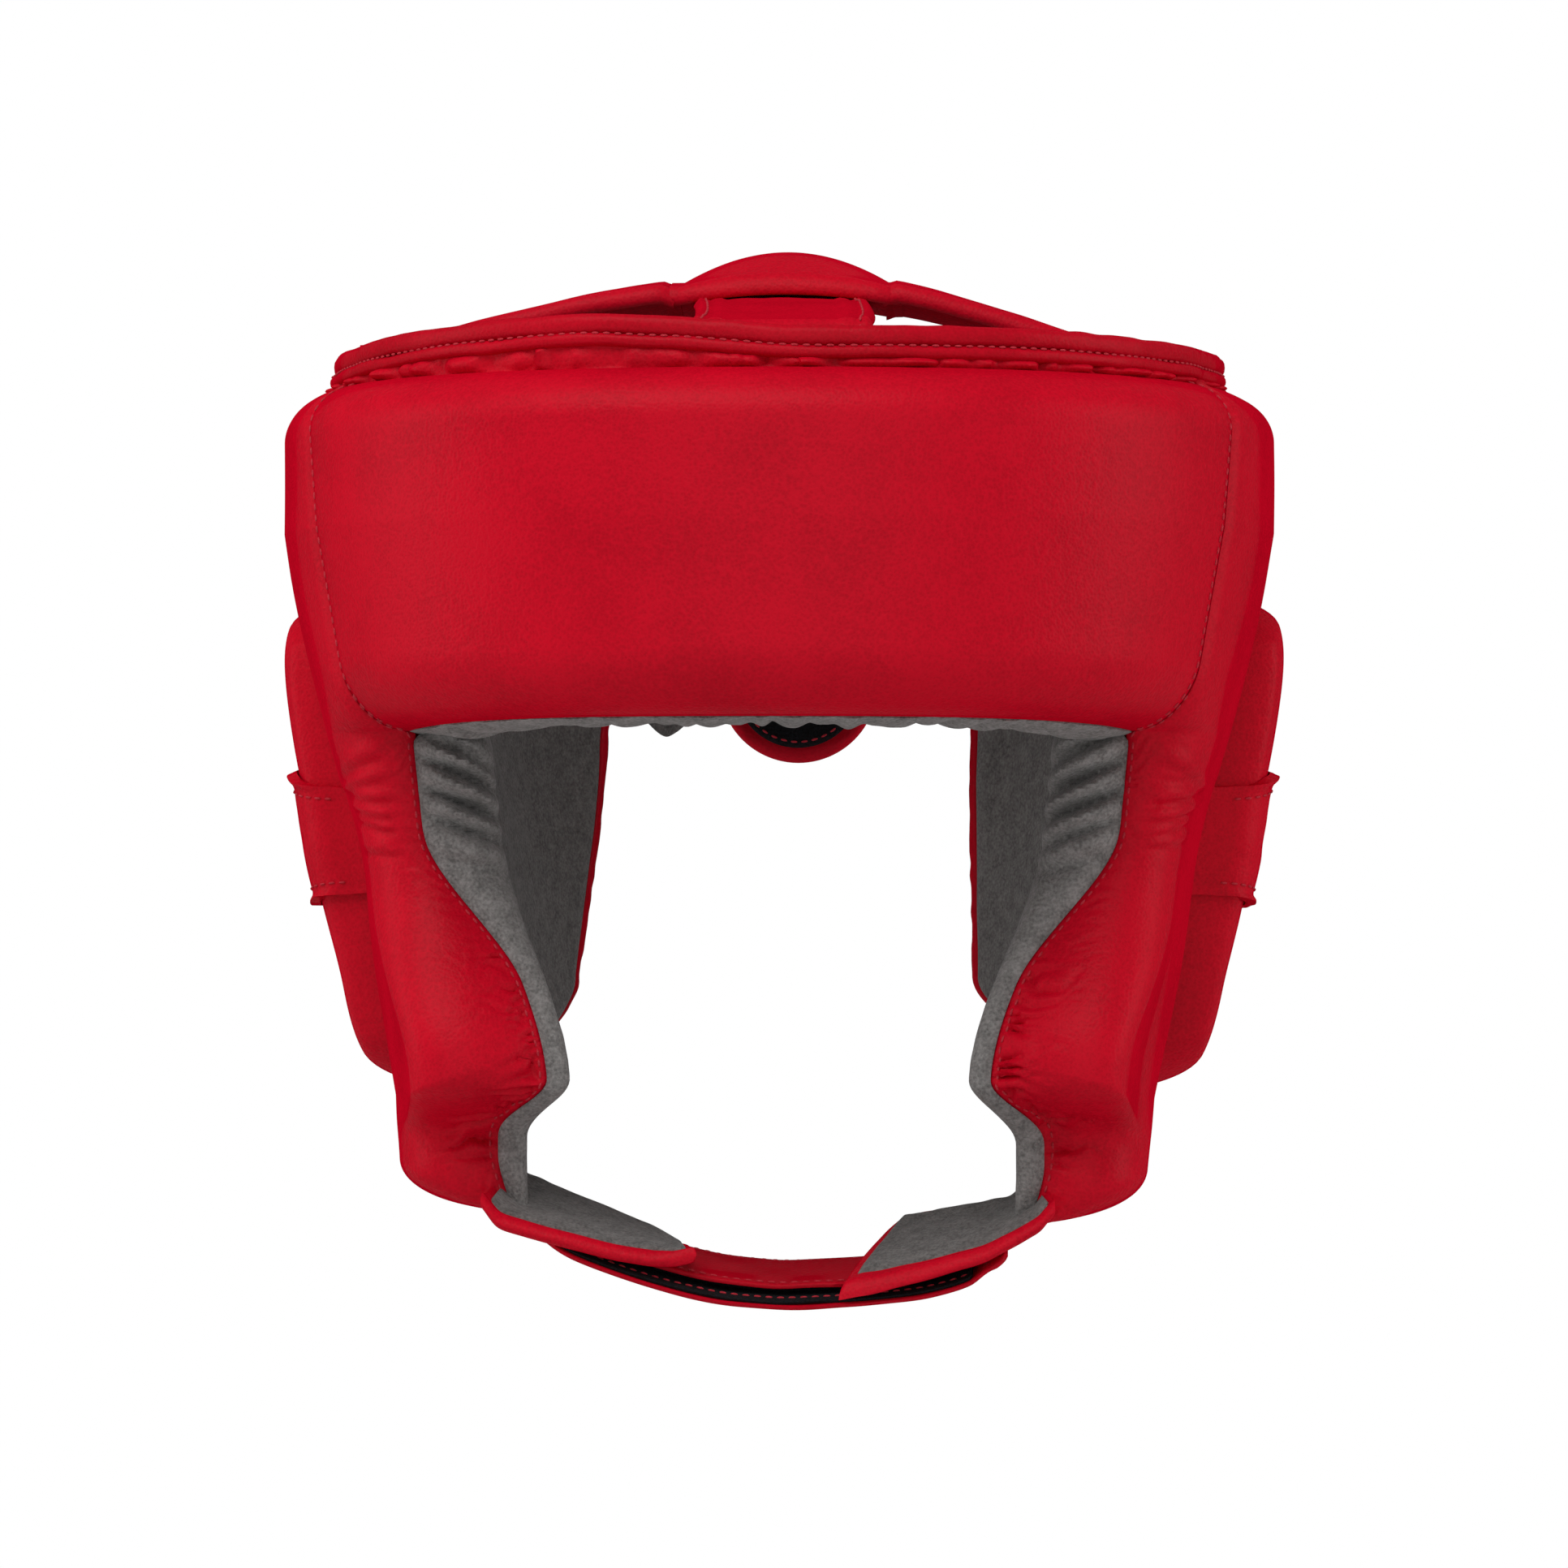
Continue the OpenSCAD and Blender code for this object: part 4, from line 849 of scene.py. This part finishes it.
# Chin closure: padded flaps from the cheek tips, a loop strap under one and a hook strap under the other.
# Edges are x and z of each flap's near and rear edge; curve is x and z of the straps' near edge
chin = dict(
    nearY=-76, width=38, tilt=8, flapHalf=1.15, flapLong=50, flapWide=40, roll=0.75, rollAt=1.9, rollWidth=1.7,
    suedeV=(0.115, 0.945), suedeU=(0.06, 0.93), suedeHigh=1.3, suedeRound=2.5, suedeThick=1,
    curve=((-56, -101.5), (-52.8, -103.5), (-48.8, -106.4), (-43, -109.2), (-36.6, -111.7), (-26.4, -115.1),
           (-11.2, -118.7), (2.5, -119.9), (20.4, -119), (35.6, -117.4), (45.9, -114.6), (49, -112.6), (53, -109.5)),
    loopFrom=-34, loopTo=46, loopEdge=0.14, loopLow=-0.2, hookFrom=-53, hookTo=53.5, hookLow=-4.1, hookTop=-2.9,
    hookTapeTo=46.5, strapThick=1.2, tapeThick=1, riseFrom=45.5, riseRun=6)
flaps = dict(
    left=dict(
        near=((16.5, -121), (24, -119.8), (36.7, -115.4), (50.9, -111.4), (59, -106.4), (64, -103.5), (67, -99.5)),
        rear=((29.6, -105.8), (34.5, -104.3), (40.1, -103.4), (49, -101.8), (56, -100.4), (59, -98), (62, -94)),
        nearY=-78.3, rearY=(-38, -38), bow=0.62, seed=201),
    right=dict(
        near=((16.8, -110.6), (22, -112), (27, -112.2), (37, -110.6), (52.8, -106.4), (63.5, -103.4), (67.5, -98.5)),
        rear=((19.5, -110.4), (24.6, -109.8), (34, -106), (42.4, -102), (53, -97.6), (58.5, -95.5), (62, -93)),
        nearY=-77.4, rearY=(-62, -38), bow=0.85, seed=211))


# x and z along a row of points, evened out
def along(points, t):
    fine = np.linspace(0, 1, 201)
    k = np.linspace(0, 1, len(points))
    return [np.interp(t, fine, evened(np.interp(fine, k, c), 31)) for c in np.asarray(points, float).T]


def flapMid(f, u, v):
    nx, nz = along(f["near"], u)
    rx, rz = along(f["rear"], u)
    ry = mix(*f["rearY"], smooth(u / 0.35))
    w = clamp01(v) ** mix(f["bow"], 1, smooth(u / 0.9))
    z = mix(nz, rz, w) + 0.35 * waves2(9 * u + 9, 5 * v + 9, f["seed"])
    return np.stack([mix(nx, rx, v), mix(f["nearY"], ry, v), z], -1)


for word, side in (("left", 1), ("right", -1)):
    f, long, wide = flaps[word], chin["flapLong"], chin["flapWide"]
    us = spacing(71, 0.3)
    t, top = roundTrip(41, -1)
    u, v = np.meshgrid(us, t, indexing="ij")
    p = flapMid(f, u, v)
    rolled = chin["roll"] * np.exp(-((wide * v - chin["rollAt"]) / chin["rollWidth"]) ** 2)
    half = (chin["flapHalf"] + rolled) * edgeRound(wide * np.minimum(v, 1 - v), 2)
    p[..., 2] += top * (half * edgeRound(us * long + 0.1, 2.2)[:, None])
    tube("chin_flap_leather_" + word, p, redLeather, ["chin_flap_" + word], side=side)
    (v0, v1), (u0, u1) = chin["suedeV"], chin["suedeU"]
    v, u = rowsAndColumns(mix(v0, v1, spacing(41, 0.6)), mix(u0, u1, spacing(61, 0.3)))
    p = flapMid(f, u, v)
    inside = np.minimum(np.minimum((v - v0) * wide, (v1 - v) * wide), (u - u0) * long)
    edge = edgeRound(inside + 0.05, chin["suedeRound"])
    ripple = 0.35 * waves2(12 * u + 9, 7 * v + 9, f["seed"] + 1)
    p[..., 2] += chin["flapHalf"] - 0.4 + chin["suedeHigh"] * edge + ripple * edge
    # the flap's lining takes the suede painted darker, as painted shade under the chin
    o = sheet("chin_flap_suede_" + word, p, chin["suedeThick"], suedePaintedShade, ["chin_flap_lining_" + word], side)


# Point of a strap: x along, v across from the near edge, off above its curve
def strapPoint(x, v, off, root=False):
    cx, cz = np.array(chin["curve"]).T
    fine = np.linspace(cx[0], cx[-1], 301)
    line = evened(np.interp(fine, cx, cz), 41)
    z = np.interp(x, fine, line)
    slope = np.arctan(np.interp(x, fine, np.gradient(line, fine)))
    tilt = math.radians(chin["tilt"])
    w = chin["width"] * v
    rise = w * math.sin(tilt)
    up = off * math.cos(tilt) * np.cos(slope)
    if root:  # up to the flap it is sewn to
        near, rear = (np.interp(x, *np.array(flaps["left"][k]).T) for k in ("near", "rear"))
        sewnZ = mix(near, rear, clamp01(v) ** 0.8) - chin["flapHalf"] - 0.2 - 0.2 * (1 - v) + off - chin["hookTop"]
        z = mix(z, sewnZ - rise - up, smooth((x - chin["riseFrom"]) / chin["riseRun"]))
    y = chin["nearY"] + w * math.cos(tilt) - off * math.sin(tilt) * np.cos(slope)
    return np.stack([x - off * np.sin(slope), y, z + rise + up], -1)


# Strap or tape between two ends, which are rounded by the given radii
def strap(name, x0, x1, edge, low, high, ends, material, body, node, ripple, seed):
    xs = mix(x0, x1, spacing(91, 0.7))
    cut = 0 * xs
    for r, d in zip(ends, (xs - x0, x1 - xs)):
        cut = np.maximum(cut, r * (1 - edgeRound(d, r)))
    t, top = roundTrip(25, -1)
    x, t = np.meshgrid(xs, t, indexing="ij")
    inset = cut[:, None] / chin["width"]
    v = mix(edge + inset, 1 - edge - inset, t)
    inside = chin["width"] * np.minimum(t, 1 - t)
    off = (low + high) / 2 + top * (high - low) / 2 * edgeRound(inside + 0.1, 0.9)
    off = off + ripple * waves2(x / 9 + 30, 5 * v + 9, seed)
    tube(name, strapPoint(x, v, off, body == "chin_hook"), material, [node], body)


hookHigh = chin["hookLow"] + chin["strapThick"]
tapeHigh = hookHigh + chin["tapeThick"]
hookFrom, loopFrom, loopTo, loopEdge = (chin[k] for k in ("hookFrom", "loopFrom", "loopTo", "loopEdge"))
for v in (0.1, 0.9):
    addStitches("chin_hook", strapPoint(np.linspace(hookFrom + 9, 45, 60), v, tapeHigh + 0.1))
for v in (loopEdge + 0.05, 0.95 - loopEdge):
    addStitches("shell", strapPoint(np.linspace(loopFrom + 2, loopTo - 2, 60), v, chin["strapThick"] - 0.1))
strap("chin_hook_strap_leather", hookFrom, chin["hookTo"], 0, chin["hookLow"], hookHigh, (9, 3), edgeLeather,
      "chin_hook", "chin_hook_strap", 0.15, 221)
strap("chin_hook_tape", hookFrom + 0.5, chin["hookTapeTo"], 0.012, hookHigh + 0.1, tapeHigh, (8, 1), hookTape,
      "chin_hook", "chin_hook_patch", 0.12, 222)
strap("chin_loop_tape", loopFrom + 6, loopTo - 1, loopEdge + 0.04, -1, -0.3, (1, 1), hookTape,
      "shell", "chin_loop_patch", 0.1, 223)
strap("chin_loop_strap_leather", loopFrom, loopTo, loopEdge, chin["loopLow"], chin["loopLow"] + chin["strapThick"],
      (2, 2), edgeLeather, "shell", "chin_loop_strap", 0.2, 224)
print("chin straps made")

# Stitches: one tree lays short rounded threads along paths
stitch = dict(pitch=2.7, length=1.75, radius=0.3)


def stitchTree():
    tree = bpy.data.node_groups.new("stitches along a path", "GeometryNodeTree")
    sockets = dict(Path="Geometry", Pitch="Float", Length="Float", Radius="Float", Thread="Material")
    for name, kind in sockets.items():
        tree.interface.new_socket(name, in_out="INPUT", socket_type="NodeSocket" + kind)
    tree.interface.new_socket("Stitches", in_out="OUTPUT", socket_type="NodeSocketGeometry")
    start = addNode(tree, "NodeGroupInput").outputs
    curve = addNode(tree, "GeometryNodeMeshToCurve", {"Mesh": start["Path"]}).outputs["Curve"]
    points = addNode(tree, "GeometryNodeResampleCurve", {"Curve": curve, "Length": start["Pitch"]}, mode="LENGTH")
    bead = addNode(tree, "GeometryNodeMeshUVSphere", {"Radius": start["Radius"]}, Segments=8, Rings=5)
    ratio = addNode(tree, "ShaderNodeMath", {0: start["Length"], 1: start["Radius"]}, operation="DIVIDE")
    stretch = addNode(tree, "ShaderNodeMath", {0: ratio.outputs[0]}, operation="MULTIPLY")
    stretch.inputs[1].default_value = 0.5
    size = addNode(tree, "ShaderNodeCombineXYZ", {"Z": stretch.outputs[0]}, X=1.0, Y=1.0)
    tangent = addNode(tree, "GeometryNodeInputTangent").outputs[0]
    turn = addNode(tree, "FunctionNodeAlignRotationToVector", {"Vector": tangent}, axis="Z")
    laid = addNode(tree, "GeometryNodeInstanceOnPoints", {
        "Points": points.outputs["Curve"], "Instance": bead.outputs["Mesh"], "Rotation": turn.outputs["Rotation"],
        "Scale": size.outputs["Vector"]})
    real = addNode(tree, "GeometryNodeRealizeInstances", {"Geometry": laid.outputs["Instances"]})
    done = addNode(tree, "GeometryNodeSetMaterial", {
        "Geometry": real.outputs["Geometry"], "Material": start["Thread"]})
    addNode(tree, "NodeGroupOutput", {"Stitches": done.outputs["Geometry"]})
    return tree


def layStitches(name, paths, body, tree):
    points, edges = [], []
    for path in paths:
        edges += [(len(points) + i, len(points) + i + 1) for i in range(len(path) - 1)]
        points += (path / 1000).tolist()
    mesh = bpy.data.meshes.new(name)
    mesh.from_pydata(points, edges, [])
    o = bpy.data.objects.new(name, mesh)
    bpy.context.scene.collection.objects.link(o)
    m = o.modifiers.new("stitches", "NODES")
    m.node_group = tree
    values = {key.capitalize(): mm / 1000 for key, mm in stitch.items()}
    values["Thread"] = thread
    for item in tree.interface.items_tree:
        if item.in_out == "INPUT" and item.name in values:
            m[item.identifier] = values[item.name]
    done = bpy.data.meshes.new_from_object(o.evaluated_get(bpy.context.evaluated_depsgraph_get()))
    o.modifiers.remove(m)
    o.data = done
    done.shade_smooth()
    moveWith(o, body)


# along the rim, between its rolls
ringLine = shellPoint(ringA, (lowMid + rim["lowHalf"] + upMid - rim["upHalf"]) / 2, lowOff + 1.75)
addStitches("shell", np.vstack([ringLine, ringLine[:1]]))
tree = stitchTree()
for body, paths in stitchPaths.items():
    layStitches(body + "_stitches", paths, body, tree)
print("stitches laid")

# Stage: white sweep, large soft lamps, camera level with the eye corners; metres and watts.
# Each lamp is its place, width, height and power
stage = dict(
    floorZ=-0.215, front=-3.0, bendFrom=1.6, bend=0.5, high=3.0, halfWide=4, world=0.24,
    lamps={"key": ((-0.35, -0.9, 1.15), 1.4, 0.9, 14.5), "fill": ((0.2, -1.7, 0.1), 1.2, 1.0, 3.6),
           "left side": ((-1.3, -0.15, 0.25), 0.7, 1.2, 5.5), "right side": ((1.3, -0.15, 0.25), 0.7, 1.2, 6.875)},
    distance=1.5, fieldOfView=14.68, turn=2.3, shift=(0.00155, -0.0013))
scene = bpy.context.scene
profile = [(stage["front"], stage["floorZ"])]
for k in np.linspace(0, math.pi / 2, 25).tolist():
    y, z = stage["bend"] * math.sin(k), stage["bend"] - stage["bend"] * math.cos(k)
    profile.append((stage["bendFrom"] + y, stage["floorZ"] + z))
profile.append((stage["bendFrom"] + stage["bend"], stage["high"]))
points = [(x, y, z) for y, z in profile for x in (-stage["halfWide"], stage["halfWide"])]
mesh = bpy.data.meshes.new("sweep")
mesh.from_pydata(points, [], [(2 * i, 2 * i + 1, 2 * i + 3, 2 * i + 2) for i in range(len(profile) - 1)])
mesh.shade_smooth()
# Paper: matt, and plain white to the camera
m, tree, shader, place = newMaterial("white paper", **{"Base Color": hexColour("#dadada"), "Roughness": 0.9})
glow = addNode(tree, "ShaderNodeEmission", Strength=1.0)
rays = addNode(tree, "ShaderNodeLightPath")
both = addNode(tree, "ShaderNodeMixShader", {
    "Fac": rays.outputs["Is Camera Ray"], 1: shader.outputs["BSDF"], 2: glow.outputs["Emission"]})
tree.links.new(both.outputs["Shader"], tree.nodes["Material Output"].inputs["Surface"])
mesh.materials.append(m)
sweep = bpy.data.objects.new("sweep", mesh)
scene.collection.objects.link(sweep)

for name, (place, wide, high, power) in stage["lamps"].items():
    data = bpy.data.lights.new(name, "AREA")
    data.shape, data.size, data.size_y, data.energy = "RECTANGLE", wide, high, power
    o = bpy.data.objects.new(name, data)
    o.location = place
    x, y, z = place  # turned to the origin
    o.rotation_euler = (math.acos(z / math.hypot(x, y, z)), 0, math.atan2(-y, -x) - math.pi / 2)
    scene.collection.objects.link(o)
world = bpy.data.worlds.new("white room")
world.use_nodes = True
tree = world.node_tree
rays = addNode(tree, "ShaderNodeLightPath").outputs["Is Camera Ray"]
bright = addNode(tree, "ShaderNodeMapRange", {"Value": rays}, **{"To Min": stage["world"], "To Max": 1})
tree.nodes["Background"].inputs["Color"].default_value = (1, 1, 1, 1)
tree.links.new(bright.outputs["Result"], tree.nodes["Background"].inputs["Strength"])
scene.world = world
scene.view_settings.view_transform = "Standard"
data = bpy.data.cameras.new("camera")
data.angle = math.radians(stage["fieldOfView"])
data.shift_x, data.shift_y = stage["shift"]
camera = bpy.data.objects.new("camera", data)
turn = math.radians(stage["turn"])
camera.location = (stage["distance"] * math.sin(turn), -stage["distance"] * math.cos(turn), 0)
camera.rotation_euler = (math.pi / 2, 0, turn)
scene.collection.objects.link(camera)
scene.camera = camera

print("stage set")
